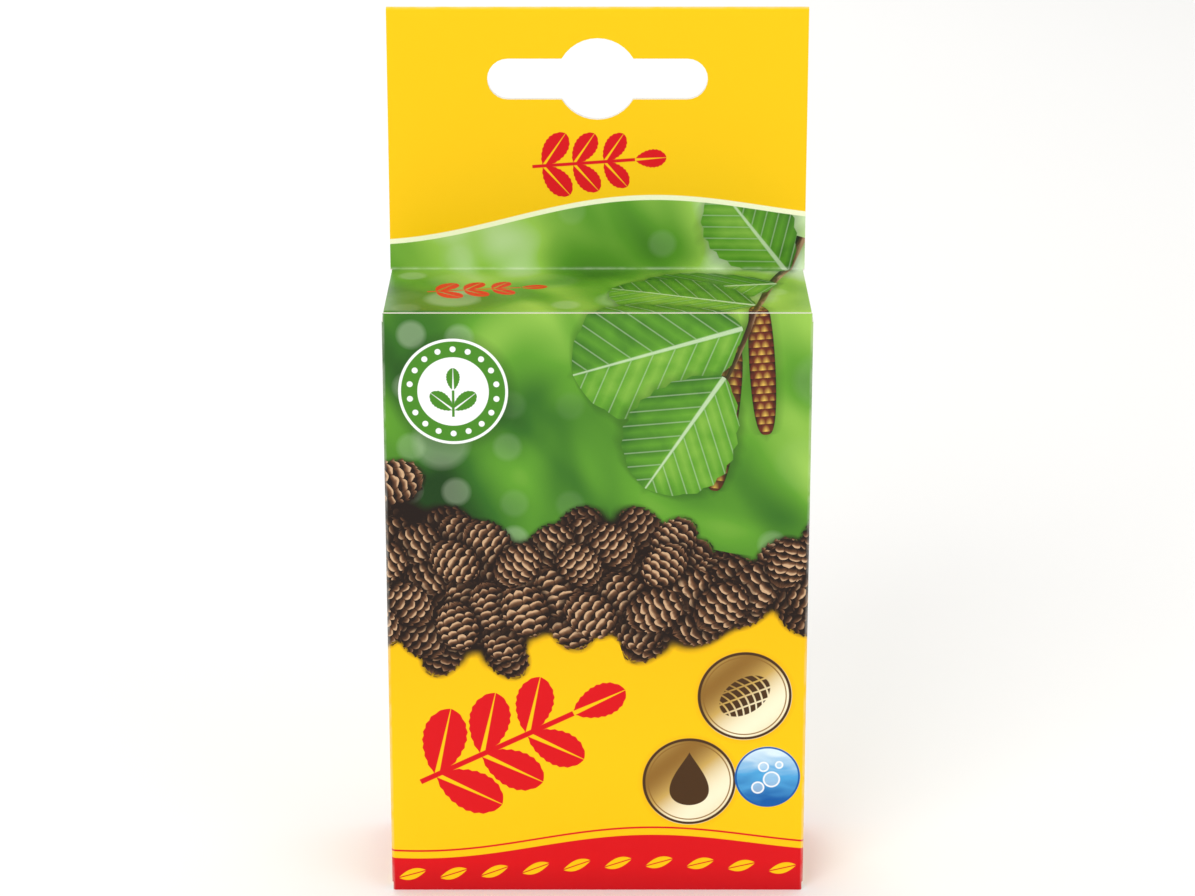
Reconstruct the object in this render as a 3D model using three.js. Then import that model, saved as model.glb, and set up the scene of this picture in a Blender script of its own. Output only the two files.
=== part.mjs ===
// Hang-tab folding carton filled with alder cones.
// One sheet of coated board makes the carton: four walls, a header that is folded double and
// pierced by a euro slot, a tuck lid that hinges on the crease at the header's foot, two dust
// flaps under the lid, and a bottom closure with a tuck and dust flaps of its own.
// Millimetres, +Z up, front towards -Y, origin at the middle of the base.

import * as THREE from "three";
import { mergeVertices } from "three/addons/utils/BufferGeometryUtils.js";

// Driving dimensions of the carton
const BOARD = 0.5; // thickness of the board
const WIDTH = 61; // across the front
const DEPTH = 25; // front to back
const BODY_HEIGHT = 89; // base to lid
const HEADER_HEIGHT = 39; // lid to the top of the hang tab
const GLUE_LINE = 0.1; // between two glued layers, and at each crease
const FOLD_PLAY = 0.3; // room round a flap that is tucked in or folds

// Euro slot in the header
const SLOT_LENGTH = 32;
const SLOT_HEIGHT = 6;
const SLOT_HUMP_DIAMETER = 12;
const SLOT_BELOW_TOP = 10.5; // slot centre to the header's top edge
const ARC_SEGMENTS = 8; // facets on each arc of the slot and of a rounded corner

// Flaps
const LID_SIDE_PLAY = 0.25; // the lid is this much short of each side wall
const TUCK_LENGTH = 11;
const TUCK_CORNER = 7; // radius of the tuck's free corners
const TUCK_LEAN = THREE.MathUtils.degToRad(16); // the tuck leans in, so it swings clear of the front
const DUST_FLAP_LENGTH = 18;
const DUST_FLAP_REAR_CUT = 9.5; // the rear edge runs back this far over the flap's length
const DUST_FLAP_FRONT_GAP = 2.5; // clear of the lid's tuck
const DUST_FLAP_CORNER = 3;
const GLUE_FLAP_WIDTH = 12;
const GLUE_FLAP_TAPER = 5;
const GLUE_FLAP_END_GAP = 3; // clear of the flaps at either end

// Alder cones: sizes are drawn between these limits
const CONE_COUNT = 45;
const CONE_LENGTH = [12.5, 16];
const CONE_SLENDERNESS = [1.42, 1.62]; // length over the diameter across the scale tips
const CONE_SIDES = 8;
const CONE_ROWS = 8; // rows of scales
const CONE_RELIEF = 0.13; // share of the radius that a scale tip stands out, and a gap sinks in
const CONE_FIRST_ROW = 0.45; // height of the lowest row of scales, in rows
const CONE_FULLNESS = 0.42; // exponent of the egg shape: smaller is blunter at both ends
const CONE_BASE_SWELL = 1.04; // the body is this much fuller at its base
const CONE_TIP_TAPER = 0.12; // and loses this much towards its tip
const STALK_LENGTH = 2;
const STALK_RADIUS = 0.75;
const CONE_CLEARANCE = 0.25; // kept round each cone
const CONE_TILT = THREE.MathUtils.degToRad(40); // most that a settled cone's axis leaves the level
const DROP_TRIES = 400; // places tried for each cone, of which it takes the lowest
const SHAKE_TRIES = 500; // small moves from there that let it settle lower
const SHAKE_REACH = 0.12; // share of each range that one small move covers
const SEED = 4173;

// Places worked out from the driving dimensions
const frontInside = -DEPTH / 2 + BOARD;
const backInside = DEPTH / 2 - BOARD;
const sideInside = WIDTH / 2 - BOARD;
const headerFront = backInside - GLUE_LINE - BOARD; // printed face of the header, and the lid's hinge line
const lidUnderside = BODY_HEIGHT - BOARD;
const lidFrontEdge = frontInside + FOLD_PLAY;
const dustFlapTop = lidUnderside - GLUE_LINE * 2;
const dustFlapUnderside = dustFlapTop - BOARD;
const bottomFlapUnderside = BOARD + GLUE_LINE;

const printedBoard = new THREE.MeshStandardMaterial({ color: 0xffcc00, roughness: 0.38, metalness: 0 });
const insideBoard = new THREE.MeshStandardMaterial({ color: 0xd8cfbd, roughness: 0.85, metalness: 0 });
const coneWood = new THREE.MeshStandardMaterial({ color: 0x6b4630, roughness: 0.8, metalness: 0 });

const pack = new THREE.Group();

function addMesh(parent, name, geometry, material) {
  const mesh = new THREE.Mesh(geometry, material);
  mesh.name = name;
  parent.add(mesh);
  return mesh;
}

// A plain rectangular panel between two opposite corners.
function addPanel(name, low, high, material) {
  const size = new THREE.Vector3().subVectors(high, low);
  const mesh = addMesh(pack, name, new THREE.BoxGeometry(size.x, size.y, size.z), material);
  mesh.position.addVectors(low, high).multiplyScalar(0.5);
  return mesh;
}

// A die-cut sheet of board: the outline lies in local XY and the board rises along local Z.
function sheet(shape) {
  return new THREE.ExtrudeGeometry(shape, {
    depth: BOARD,
    bevelEnabled: false,
    curveSegments: ARC_SEGMENTS,
  });
}

// A group whose local X and Y are the world's X and Z, with local Z pointing to the front.
function uprightGroup(y) {
  const group = new THREE.Group();
  group.rotation.x = Math.PI / 2;
  group.position.y = y;
  pack.add(group);
  return group;
}

function rectangle(left, bottom, right, top) {
  const shape = new THREE.Shape();
  shape.moveTo(left, bottom);
  shape.lineTo(right, bottom);
  shape.lineTo(right, top);
  shape.lineTo(left, top);
  shape.closePath();
  return shape;
}

// Euro slot: a round-ended slot with a round hump at its middle, centred on (0, height).
function euroSlot(height) {
  const endRadius = SLOT_HEIGHT / 2;
  const endCentre = SLOT_LENGTH / 2 - endRadius;
  const humpRadius = SLOT_HUMP_DIAMETER / 2;
  const humpAngle = Math.asin(endRadius / humpRadius);
  const hole = new THREE.Path();
  hole.absarc(endCentre, height, endRadius, -Math.PI / 2, Math.PI / 2, false);
  hole.absarc(0, height, humpRadius, humpAngle, Math.PI - humpAngle, false);
  hole.absarc(-endCentre, height, endRadius, Math.PI / 2, (3 * Math.PI) / 2, false);
  hole.absarc(0, height, humpRadius, Math.PI + humpAngle, 2 * Math.PI - humpAngle, false);
  hole.closePath();
  return hole;
}

function addWalls() {
  addPanel(
    "front_panel",
    new THREE.Vector3(-WIDTH / 2, -DEPTH / 2, 0),
    new THREE.Vector3(WIDTH / 2, frontInside, BODY_HEIGHT),
    printedBoard,
  );
  for (const [side, direction] of [["left", -1], ["right", 1]]) {
    const faces = [direction * sideInside, (direction * WIDTH) / 2];
    addPanel(
      `${side}_side_panel`,
      new THREE.Vector3(Math.min(...faces), frontInside + GLUE_LINE, bottomFlapUnderside),
      new THREE.Vector3(Math.max(...faces), backInside - GLUE_LINE, dustFlapUnderside - GLUE_LINE),
      printedBoard,
    );
  }
}

// The back wall runs on above the lid as the rear layer of the header; the front layer is folded
// over from its top edge and glued to it.
function addBackAndHeader() {
  const top = BODY_HEIGHT + HEADER_HEIGHT;
  const layers = [
    ["back_panel", 0, backInside + BOARD],
    ["header_front_layer", BODY_HEIGHT, headerFront + BOARD],
  ];
  for (const [name, foot, rearFace] of layers) {
    const outline = rectangle(-WIDTH / 2, foot, WIDTH / 2, top);
    outline.holes.push(euroSlot(top - SLOT_BELOW_TOP));
    addMesh(uprightGroup(rearFace), name, sheet(outline), printedBoard);
  }
}

// The seam flap runs on from the back wall's left edge and is glued inside the left wall.
function addGlueFlap() {
  const foot = bottomFlapUnderside + BOARD + GLUE_FLAP_END_GAP;
  const head = dustFlapUnderside - GLUE_FLAP_END_GAP;
  const shape = new THREE.Shape();
  shape.moveTo(foot, 0);
  shape.lineTo(head, 0);
  shape.lineTo(head - GLUE_FLAP_TAPER, -GLUE_FLAP_WIDTH);
  shape.lineTo(foot + GLUE_FLAP_TAPER, -GLUE_FLAP_WIDTH);
  shape.closePath();
  const flap = addMesh(pack, "glue_flap", sheet(shape), insideBoard);
  flap.rotation.y = -Math.PI / 2;
  flap.position.set(-sideInside + GLUE_LINE + BOARD, backInside - FOLD_PLAY, 0);
}

// Outline of a tuck: its crease lies on local Y = 0 and its free corners are rounded.
function tuckShape(halfWidth) {
  const corner = halfWidth - TUCK_CORNER;
  const shape = new THREE.Shape();
  shape.moveTo(halfWidth, 0);
  shape.lineTo(-halfWidth, 0);
  shape.lineTo(-halfWidth, TUCK_CORNER - TUCK_LENGTH);
  shape.absarc(-corner, TUCK_CORNER - TUCK_LENGTH, TUCK_CORNER, Math.PI, 1.5 * Math.PI, false);
  shape.absarc(corner, TUCK_CORNER - TUCK_LENGTH, TUCK_CORNER, 1.5 * Math.PI, 2 * Math.PI, false);
  shape.closePath();
  return shape;
}

function addLid() {
  const halfWidth = WIDTH / 2 - LID_SIDE_PLAY;
  addPanel(
    "lid_panel",
    new THREE.Vector3(-halfWidth, lidFrontEdge, lidUnderside),
    new THREE.Vector3(halfWidth, headerFront - GLUE_LINE, BODY_HEIGHT),
    printedBoard,
  );
  const fold = uprightGroup(lidFrontEdge + BOARD);
  fold.position.z = lidUnderside - FOLD_PLAY;
  fold.rotation.x += TUCK_LEAN;
  addMesh(fold, "lid_tuck_flap", sheet(tuckShape(halfWidth - FOLD_PLAY)), printedBoard);
}

// Outline of a dust flap that runs from its crease at X = 0 towards +X, with its rear edge cut
// back so that the flap stays under the lid as both swing up.
function dustFlapShape(front, rear) {
  const shape = new THREE.Shape();
  shape.moveTo(GLUE_LINE, front);
  shape.lineTo(DUST_FLAP_LENGTH - DUST_FLAP_CORNER, front);
  shape.absarc(
    DUST_FLAP_LENGTH - DUST_FLAP_CORNER,
    front + DUST_FLAP_CORNER,
    DUST_FLAP_CORNER,
    -Math.PI / 2,
    0,
    false,
  );
  shape.lineTo(DUST_FLAP_LENGTH, rear - DUST_FLAP_REAR_CUT);
  shape.lineTo(GLUE_LINE, rear);
  shape.closePath();
  return shape;
}

function addDustFlaps() {
  const topShape = dustFlapShape(lidFrontEdge + DUST_FLAP_FRONT_GAP, headerFront - FOLD_PLAY * 2);
  const bottomShape = dustFlapShape(frontInside + BOARD + FOLD_PLAY * 2, backInside - FOLD_PLAY);
  for (const [side, turn] of [["left", 0], ["right", Math.PI]]) {
    const crease = (turn ? 1 : -1) * sideInside;
    for (const [end, shape, height] of [
      ["top", topShape, dustFlapUnderside],
      ["bottom", bottomShape, bottomFlapUnderside],
    ]) {
      const flap = addMesh(pack, `${end}_dust_flap_${side}`, sheet(shape), insideBoard);
      // The right-hand flap is the left one turned over about the front-to-back axis.
      flap.rotation.y = turn;
      flap.position.set(crease, 0, height + (turn ? BOARD : 0));
    }
  }
}

function addBottom() {
  const halfWidth = WIDTH / 2 - LID_SIDE_PLAY;
  addPanel(
    "bottom_panel",
    new THREE.Vector3(-halfWidth, frontInside + GLUE_LINE, 0),
    new THREE.Vector3(halfWidth, backInside - GLUE_LINE, BOARD),
    printedBoard,
  );
  const fold = uprightGroup(frontInside + GLUE_LINE);
  fold.rotation.x = -Math.PI / 2;
  fold.position.z = bottomFlapUnderside;
  addMesh(fold, "bottom_tuck_flap", sheet(tuckShape(halfWidth - BOARD - FOLD_PLAY)), insideBoard);
}

// Seeded draw in [0, 1).
function seededDraw(seed) {
  let state = seed;
  return () => {
    state = (state + 0x6d2b79f5) | 0;
    let mixed = Math.imul(state ^ (state >>> 15), 1 | state);
    mixed = (mixed + Math.imul(mixed ^ (mixed >>> 7), 61 | mixed)) ^ mixed;
    return ((mixed ^ (mixed >>> 14)) >>> 0) / 4294967296;
  };
}

const draw = seededDraw(SEED);

function drawBetween([low, high]) {
  return low + (high - low) * draw();
}

// Rows of scales along a cone: height of each row and the egg-shaped body's radius there.
function coneRows(length, diameter) {
  const rows = [];
  for (let row = 0; row < CONE_ROWS; row += 1) {
    const share = (row + CONE_FIRST_ROW) / CONE_ROWS;
    const egg = Math.pow(4 * share * (1 - share), CONE_FULLNESS);
    const swell = egg * (CONE_BASE_SWELL - CONE_TIP_TAPER * share);
    rows.push({ height: length * share, radius: ((diameter / 2) * swell) / (1 + CONE_RELIEF) });
  }
  return rows;
}

// One cone along local Y on its stub of stalk. Tips and gaps alternate round each row and from
// row to row, as scales on a spiral do.
function coneGeometry(rows, length) {
  const profile = [
    new THREE.Vector2(0, -STALK_LENGTH),
    new THREE.Vector2(STALK_RADIUS, -STALK_LENGTH),
    new THREE.Vector2(STALK_RADIUS, 0),
    ...rows.map((row) => new THREE.Vector2(row.radius, row.height)),
    new THREE.Vector2(0, length),
  ];
  const firstRow = 3;
  const lathe = new THREE.LatheGeometry(profile, CONE_SIDES);
  const position = lathe.getAttribute("position");
  for (let side = 0; side <= CONE_SIDES; side += 1) {
    for (let row = 0; row < CONE_ROWS; row += 1) {
      const vertex = side * profile.length + firstRow + row;
      const swell = 1 + ((side + row) % 2 ? -CONE_RELIEF : CONE_RELIEF);
      position.setX(vertex, position.getX(vertex) * swell);
      position.setZ(vertex, position.getZ(vertex) * swell);
    }
  }
  return closedSurface(lathe);
}

// Joins a lathe's seam and poles and drops the triangles that collapse at the poles.
function closedSurface(geometry) {
  geometry.deleteAttribute("normal");
  geometry.deleteAttribute("uv");
  const merged = mergeVertices(geometry, 1e-4);
  const kept = [];
  const corners = merged.index.array;
  for (let at = 0; at < corners.length; at += 3) {
    const [a, b, c] = corners.slice(at, at + 3);
    if (a !== b && b !== c && c !== a) kept.push(a, b, c);
  }
  merged.setIndex(kept);
  return merged;
}

// Balls that hold a cone with its clearance, along its axis.
function coneBalls(rows) {
  const balls = rows.map((row) => ({
    along: row.height,
    radius: row.radius * (1 + CONE_RELIEF) + CONE_CLEARANCE,
  }));
  balls.push({ along: -STALK_LENGTH / 2, radius: STALK_RADIUS + STALK_LENGTH / 2 + CONE_CLEARANCE });
  return balls;
}

// Lowest height at which a set of balls, dropped straight down, comes to rest on the floor or on
// balls that lie there already.
function restHeight(balls, settled, floor) {
  let height = -Infinity;
  for (const ball of balls) {
    height = Math.max(height, floor + ball.radius - ball.offset.z);
    for (const other of settled) {
      const reach = ball.radius + other.radius;
      const across = Math.hypot(ball.offset.x - other.x, ball.offset.y - other.y);
      if (across < reach) {
        height = Math.max(height, other.z + Math.sqrt(reach * reach - across * across) - ball.offset.z);
      }
    }
  }
  return height;
}

// Where a cone lies inside the walls, from four shares in [0, 1]: of its tilt, of its heading, and of
// the room that is left across the carton and from front to back.
function placeInWalls(balls, [tiltShare, headingShare, acrossShare, depthShare], halfWidth, halfDepth) {
  const tilt = CONE_TILT * (2 * tiltShare - 1);
  const heading = 2 * Math.PI * headingShare;
  const axis = new THREE.Vector3(
    Math.cos(tilt) * Math.cos(heading),
    Math.cos(tilt) * Math.sin(heading),
    Math.sin(tilt),
  );
  const placed = balls.map(({ along, radius }) => ({ radius, offset: axis.clone().multiplyScalar(along) }));
  const within = (key, half, share) => {
    const low = Math.max(...placed.map((ball) => ball.radius - ball.offset[key])) - half;
    const high = half - Math.max(...placed.map((ball) => ball.radius + ball.offset[key]));
    return low + (high - low) * share;
  };
  const foot = new THREE.Vector3(
    within("x", halfWidth, acrossShare),
    within("y", halfDepth, depthShare),
    0,
  );
  for (const ball of placed) ball.offset.add(foot);
  return { axis, foot, placed };
}

// Drops a cone at many random places and shakes it at the best of them, keeping the one whose top
// comes lowest.
function settle(balls, settled, halfWidth, halfDepth, floor) {
  let best = null;
  for (let attempt = 0; attempt < DROP_TRIES + SHAKE_TRIES; attempt += 1) {
    const shares = Array.from({ length: 4 }, (_, at) => {
      if (attempt < DROP_TRIES) return draw();
      return THREE.MathUtils.clamp(best.shares[at] + SHAKE_REACH * (draw() - 0.5), 0, 1);
    });
    const place = placeInWalls(balls, shares, halfWidth, halfDepth);
    place.foot.z = restHeight(place.placed, settled, floor);
    const top = Math.max(...place.placed.map((ball) => place.foot.z + ball.offset.z + ball.radius));
    if (!best || top < best.top) best = { ...place, shares, top };
  }
  return best;
}

// The cones are dropped into the carton one by one.
function addCones() {
  const halfWidth = sideInside - BOARD - FOLD_PLAY;
  const halfDepth = backInside - BOARD - FOLD_PLAY;
  const floor = bottomFlapUnderside + BOARD;
  const upright = new THREE.Vector3(0, 1, 0);
  const settled = [];
  for (let number = 1; number <= CONE_COUNT; number += 1) {
    const length = drawBetween(CONE_LENGTH);
    const rows = coneRows(length, length / drawBetween(CONE_SLENDERNESS));
    const { axis, foot, placed } = settle(coneBalls(rows), settled, halfWidth, halfDepth, floor);
    for (const { radius, offset } of placed) {
      settled.push({ x: offset.x, y: offset.y, z: offset.z + foot.z, radius });
    }
    const name = `alder_cone_${String(number).padStart(2, "0")}`;
    const cone = addMesh(pack, name, coneGeometry(rows, length), coneWood);
    cone.quaternion.setFromUnitVectors(upright, axis);
    cone.position.copy(foot);
  }
}

addWalls();
addBackAndHeader();
addGlueFlap();
addLid();
addDustFlaps();
addBottom();
addCones();

export default pack;
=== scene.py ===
"""Dresses a hang-tab folding carton of dried alder cones.

The carton is made as a carton maker makes one: each sheet of board is die-cut flat, creased, printed
and folded, and only then given its thickness. The print is laid on the flat sheet, so it follows the
board round every fold. The cones are built scale by scale and lie where the frame's cones lie.
"""

import logging
import math
import random
from contextlib import contextmanager
from dataclasses import dataclass, field
from enum import Enum
from typing import Callable, Iterable, Iterator, Optional, Protocol, Sequence, Tuple, Union

import bmesh
import bpy
import numpy as np
from mathutils import Matrix, Vector


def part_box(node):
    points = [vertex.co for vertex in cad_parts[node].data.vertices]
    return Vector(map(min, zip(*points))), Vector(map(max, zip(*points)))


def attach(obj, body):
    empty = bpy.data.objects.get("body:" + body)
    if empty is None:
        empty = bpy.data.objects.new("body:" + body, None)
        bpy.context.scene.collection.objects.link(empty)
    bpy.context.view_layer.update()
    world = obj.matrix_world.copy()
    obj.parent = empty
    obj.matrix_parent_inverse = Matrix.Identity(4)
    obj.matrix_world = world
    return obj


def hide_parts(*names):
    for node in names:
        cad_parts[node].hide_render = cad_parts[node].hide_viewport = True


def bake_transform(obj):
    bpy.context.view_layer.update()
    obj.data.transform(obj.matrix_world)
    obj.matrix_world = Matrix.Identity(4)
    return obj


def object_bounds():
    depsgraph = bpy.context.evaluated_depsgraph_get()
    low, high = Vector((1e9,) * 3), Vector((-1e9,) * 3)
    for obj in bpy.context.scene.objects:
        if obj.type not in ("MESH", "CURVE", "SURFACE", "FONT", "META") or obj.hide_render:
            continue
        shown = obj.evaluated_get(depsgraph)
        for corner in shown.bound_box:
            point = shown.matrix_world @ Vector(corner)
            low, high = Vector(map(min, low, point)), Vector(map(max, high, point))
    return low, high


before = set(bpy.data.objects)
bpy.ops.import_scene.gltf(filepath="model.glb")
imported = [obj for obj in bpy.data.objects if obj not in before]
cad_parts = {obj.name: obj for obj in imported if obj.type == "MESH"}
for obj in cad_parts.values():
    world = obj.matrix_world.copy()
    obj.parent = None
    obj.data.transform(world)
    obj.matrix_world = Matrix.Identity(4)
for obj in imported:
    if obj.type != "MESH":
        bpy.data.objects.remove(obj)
CAD_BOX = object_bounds()
LOG = logging.getLogger("carton")

MM = 0.001
EPSILON = 1e-7
QUARTER = math.radians(90)
UPRIGHT_TURN = Matrix.Rotation(QUARTER, 4, "X")
FACE_DOWN = Matrix.Rotation(2 * QUARTER, 4, "X")
PRINT_MAP = "Print"
LIP_ATTRIBUTE = "lip"
SEED = 4173

Point = Tuple[float, float]
Colour = Tuple[float, float, float, float]


def close_mesh(bm: bmesh.types.BMesh, name: str) -> bpy.types.Mesh:
    """Turns worked geometry into a mesh, and frees it."""
    mesh = bpy.data.meshes.new(name)
    bm.to_mesh(mesh)
    bm.free()
    return mesh


def add_object(name: str, data: bpy.types.ID) -> bpy.types.Object:
    """Makes an object of some data and links it to the scene."""
    made = bpy.data.objects.new(name, data)
    bpy.context.scene.collection.objects.link(made)
    return made


class Ink(Enum):
    """Inks, picture tones and board colours, as 8-bit display values."""

    YELLOW = (255, 204, 0)
    YELLOW_DEEP = (246, 178, 0)
    KEYLINE = (253, 255, 217)
    RED = (222, 4, 18)
    RED_DEEP = (158, 0, 14)
    WHITE = (255, 255, 255)
    CREAM = (255, 249, 226)
    GREEN_NIGHT = (26, 62, 18)
    GREEN_DEEP = (52, 108, 30)
    GREEN_LEAF = (96, 158, 44)
    GREEN_FRESH = (158, 204, 84)
    GREEN_PALE = (222, 240, 206)
    GREEN_BADGE = (74, 138, 36)
    TWIG = (92, 62, 40)
    CONE_GAP = (30, 17, 11)
    CONE_BODY = (108, 72, 48)
    CONE_TIP = (208, 170, 132)
    CATKIN_DARK = (112, 48, 30)
    CATKIN_LIGHT = (226, 186, 84)
    GOLD_DARK = (146, 106, 44)
    GOLD = (206, 170, 92)
    GOLD_PALE = (255, 246, 212)
    UMBER = (74, 48, 22)
    WATER_DEEP = (16, 92, 170)
    WATER = (82, 170, 226)
    WATER_PALE = (224, 244, 255)
    BOARD_INSIDE = (214, 204, 184)
    BOARD_FLECK = (170, 158, 136)
    BOARD_EDGE = (247, 244, 234)

    @property
    def linear(self) -> Colour:
        """The scene-linear colour."""
        return (*(((c / 255 + 0.055) / 1.055) ** 2.4 if c > 10 else c / 3295 for c in self.value), 1.0)


class Num:
    """A number that varies over a surface, held by the socket of a shader node."""

    def __init__(self, plate: "Plate", socket: bpy.types.NodeSocket) -> None:
        """Keeps the socket and the plate that owns it."""
        self.plate = plate
        self.socket = socket

    def __add__(self, other: "Number") -> "Num":
        """Sum."""
        return self.plate.math("ADD", self, other)

    def __sub__(self, other: "Number") -> "Num":
        """Difference."""
        return self.plate.math("SUBTRACT", self, other)

    def __rsub__(self, other: "Number") -> "Num":
        """Difference with the number on the right."""
        return self.plate.math("SUBTRACT", other, self)

    def __mul__(self, other: "Number") -> "Num":
        """Product."""
        return self.plate.math("MULTIPLY", self, other)

    def __truediv__(self, other: "Number") -> "Num":
        """Quotient."""
        return self.plate.math("DIVIDE", self, other)

    def __pow__(self, other: "Number") -> "Num":
        """Power."""
        return self.plate.math("POWER", self, other)

    def __abs__(self) -> "Num":
        """Absolute value."""
        return self.plate.math("ABSOLUTE", self)

    def sine(self) -> "Num":
        """Sine of an angle in radians."""
        return self.plate.math("SINE", self)

    def root(self) -> "Num":
        """Square root, zero where the number is negative."""
        return self.plate.math("SQRT", self)

    def whole(self) -> "Num":
        """The whole number below."""
        return self.plate.math("FLOOR", self)

    def rest(self) -> "Num":
        """What is left over the whole number below."""
        return self.plate.math("FRACT", self)

    def zigzag(self, height: float) -> "Num":
        """Up and down between zero and the height."""
        return self.plate.math("PINGPONG", self, height)

    def clamped(self) -> "Num":
        """Held between zero and one."""
        return self.plate.math("ADD", self, 0.0, clamp=True)

    def least(self, other: "Number") -> "Num":
        """The smaller of two numbers."""
        return self.plate.math("MINIMUM", self, other)

    def most(self, other: "Number") -> "Num":
        """The larger of two numbers."""
        return self.plate.math("MAXIMUM", self, other)


Number = Union[Num, float]


class Motif(Protocol):
    """Anything that can be printed on a plate."""

    def lay(self, plate: "Plate") -> None:
        """Prints the motif."""


class Plate:
    """A material whose colour is laid ink by ink, and the numbers that say where each ink goes."""

    mix_inputs = (0, 6, 7)
    mix_output = 2
    unfelt = (1e-30, 1e-30, 1e-30)

    def __init__(self, name: str, mapped: bool = True) -> None:
        """Starts an empty material.

        Args:
            name: The material's name.
            mapped: True to work in the flat sheet's millimetres, False in object space.
        """
        self.material = bpy.data.materials.new(name)
        self.material.use_nodes = True
        self.tree = self.material.node_tree
        self.tree.nodes.clear()
        if mapped:
            self.place = self.node("ShaderNodeUVMap", uv_map=PRINT_MAP).outputs["UV"]
        else:
            self.place = self.node("ShaderNodeTexCoord").outputs["Object"]
        self.across, self.along = self.split(self.place)
        self.colour: Union[Colour, bpy.types.NodeSocket] = Ink.WHITE.linear

    def node(self, kind: str, **settings: object) -> bpy.types.Node:
        """Adds a node and sets its properties."""
        made = self.tree.nodes.new(kind)
        for key, value in settings.items():
            setattr(made, key, value)
        return made

    def plug(self, socket: bpy.types.NodeSocket, value: object) -> None:
        """Links a socket or a Num to an input, or sets the input's own value."""
        if isinstance(value, Num):
            value = value.socket
        if isinstance(value, bpy.types.NodeSocket):
            self.tree.links.new(value, socket)
        else:
            socket.default_value = value

    def math(self, operation: str, *values: Number, clamp: bool = False) -> Num:
        """One step of arithmetic.

        Args:
            operation: The Math node's operation.
            *values: Its operands.
            clamp: True to hold the result between zero and one.

        Returns:
            The result.
        """
        made = self.node("ShaderNodeMath", operation=operation, use_clamp=clamp)
        for socket, value in zip(made.inputs, values):
            self.plug(socket, value)
        return Num(self, made.outputs[0])

    def split(self, vector: bpy.types.NodeSocket) -> Tuple[Num, Num]:
        """The first two components of a vector."""
        made = self.node("ShaderNodeSeparateXYZ")
        self.plug(made.inputs[0], vector)
        return Num(self, made.outputs[0]), Num(self, made.outputs[1])

    def at(self, x: float, y: float, turn: float = 0.0) -> Tuple[Num, Num]:
        """Coordinates of a motif's own frame.

        Args:
            x: Place of the motif's origin across the sheet.
            y: Place of its origin along the sheet.
            turn: Direction of its own first axis, in degrees.

        Returns:
            Distances along the motif's two axes.
        """
        made = self.node("ShaderNodeMapping", vector_type="TEXTURE")
        self.plug(made.inputs["Vector"], self.place)
        made.inputs["Location"].default_value = (x, y, 0.0)
        made.inputs["Rotation"].default_value = (0.0, 0.0, math.radians(turn))
        return self.split(made.outputs[0])

    def distance(self, x: float, y: float) -> Num:
        """Distance from a point of the sheet."""
        made = self.node("ShaderNodeVectorMath", operation="DISTANCE")
        self.plug(made.inputs[0], self.place)
        made.inputs[1].default_value = (x, y, 0.0)
        return Num(self, made.outputs["Value"])

    def noise_node(self, size: float, detail: float = 2.0, swirl: float = 0.0, stretch: Point = (1.0, 1.0),
                   turn: float = 0.0, offset: float = 0.0) -> bpy.types.Node:
        """Smooth random tone.

        Args:
            size: Width of its blotches.
            detail: Octaves of finer tone.
            swirl: Distortion.
            stretch: Extra length of the blotches along two axes.
            turn: Direction of the first of those axes, in degrees.
            offset: Shift that gives another pattern.

        Returns:
            The noise node, with tones about 0.5.
        """
        mapping = self.node("ShaderNodeMapping", vector_type="TEXTURE")
        self.plug(mapping.inputs["Vector"], self.place)
        mapping.inputs["Location"].default_value = (offset, -offset, offset)
        mapping.inputs["Rotation"].default_value = (0.0, 0.0, math.radians(turn))
        mapping.inputs["Scale"].default_value = (size * stretch[0], size * stretch[1], size)
        made = self.node("ShaderNodeTexNoise", noise_dimensions="3D")
        self.plug(made.inputs["Vector"], mapping.outputs[0])
        made.inputs["Scale"].default_value = 1.0
        made.inputs["Detail"].default_value = detail
        made.inputs["Distortion"].default_value = swirl
        return made

    def noise(self, **settings: object) -> Num:
        """One smooth random tone, with the settings of a noise node."""
        return Num(self, self.noise_node(**settings).outputs[0])

    def noise_pair(self, **settings: object) -> Tuple[Num, Num]:
        """Two smooth random tones, with the settings of a noise node."""
        return self.split(self.noise_node(**settings).outputs[1])

    def toss(self, *seeds: Num) -> Num:
        """A random number from zero to one for every set of whole numbers."""
        joined = self.node("ShaderNodeCombineXYZ")
        for socket, seed in zip(joined.inputs, seeds):
            self.plug(socket, seed)
        made = self.node("ShaderNodeTexWhiteNoise", noise_dimensions="3D")
        self.plug(made.inputs["Vector"], joined.outputs[0])
        return Num(self, made.outputs[0])

    def ramp(self, value: Number, stops: Sequence[Tuple[float, Ink]]) -> bpy.types.NodeSocket:
        """A colour that runs through inks as a number rises.

        Args:
            value: The number, from zero to one.
            stops: Places on that run and the ink at each.

        Returns:
            The colour's socket.
        """
        made = self.node("ShaderNodeValToRGB")
        elements = made.color_ramp.elements
        while len(elements) < len(stops):
            elements.new(0.5)
        for element, (position, ink) in zip(elements, stops):
            element.position = position
            element.color = ink.linear
        self.plug(made.inputs[0], value)
        return made.outputs[0]

    def edge(self, inside: Num, soft: float = 0.1) -> Num:
        """A mask with a soft edge.

        Args:
            inside: Distance inside the shape, negative outside.
            soft: Width of the edge.

        Returns:
            One inside, zero outside.
        """
        return self.math("MULTIPLY_ADD", inside, 1.0 / soft, 0.5, clamp=True)

    def lay(self, ink: Union[Ink, bpy.types.NodeSocket], mask: Number = 1.0) -> None:
        """Lays an ink, or a colour that varies, over what is printed so far."""
        made = self.node("ShaderNodeMix", data_type="RGBA")
        share, under, over = (made.inputs[index] for index in self.mix_inputs)
        self.plug(share, mask)
        self.plug(under, self.colour)
        self.plug(over, ink.linear if isinstance(ink, Ink) else ink)
        self.colour = made.outputs[self.mix_output]

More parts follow.
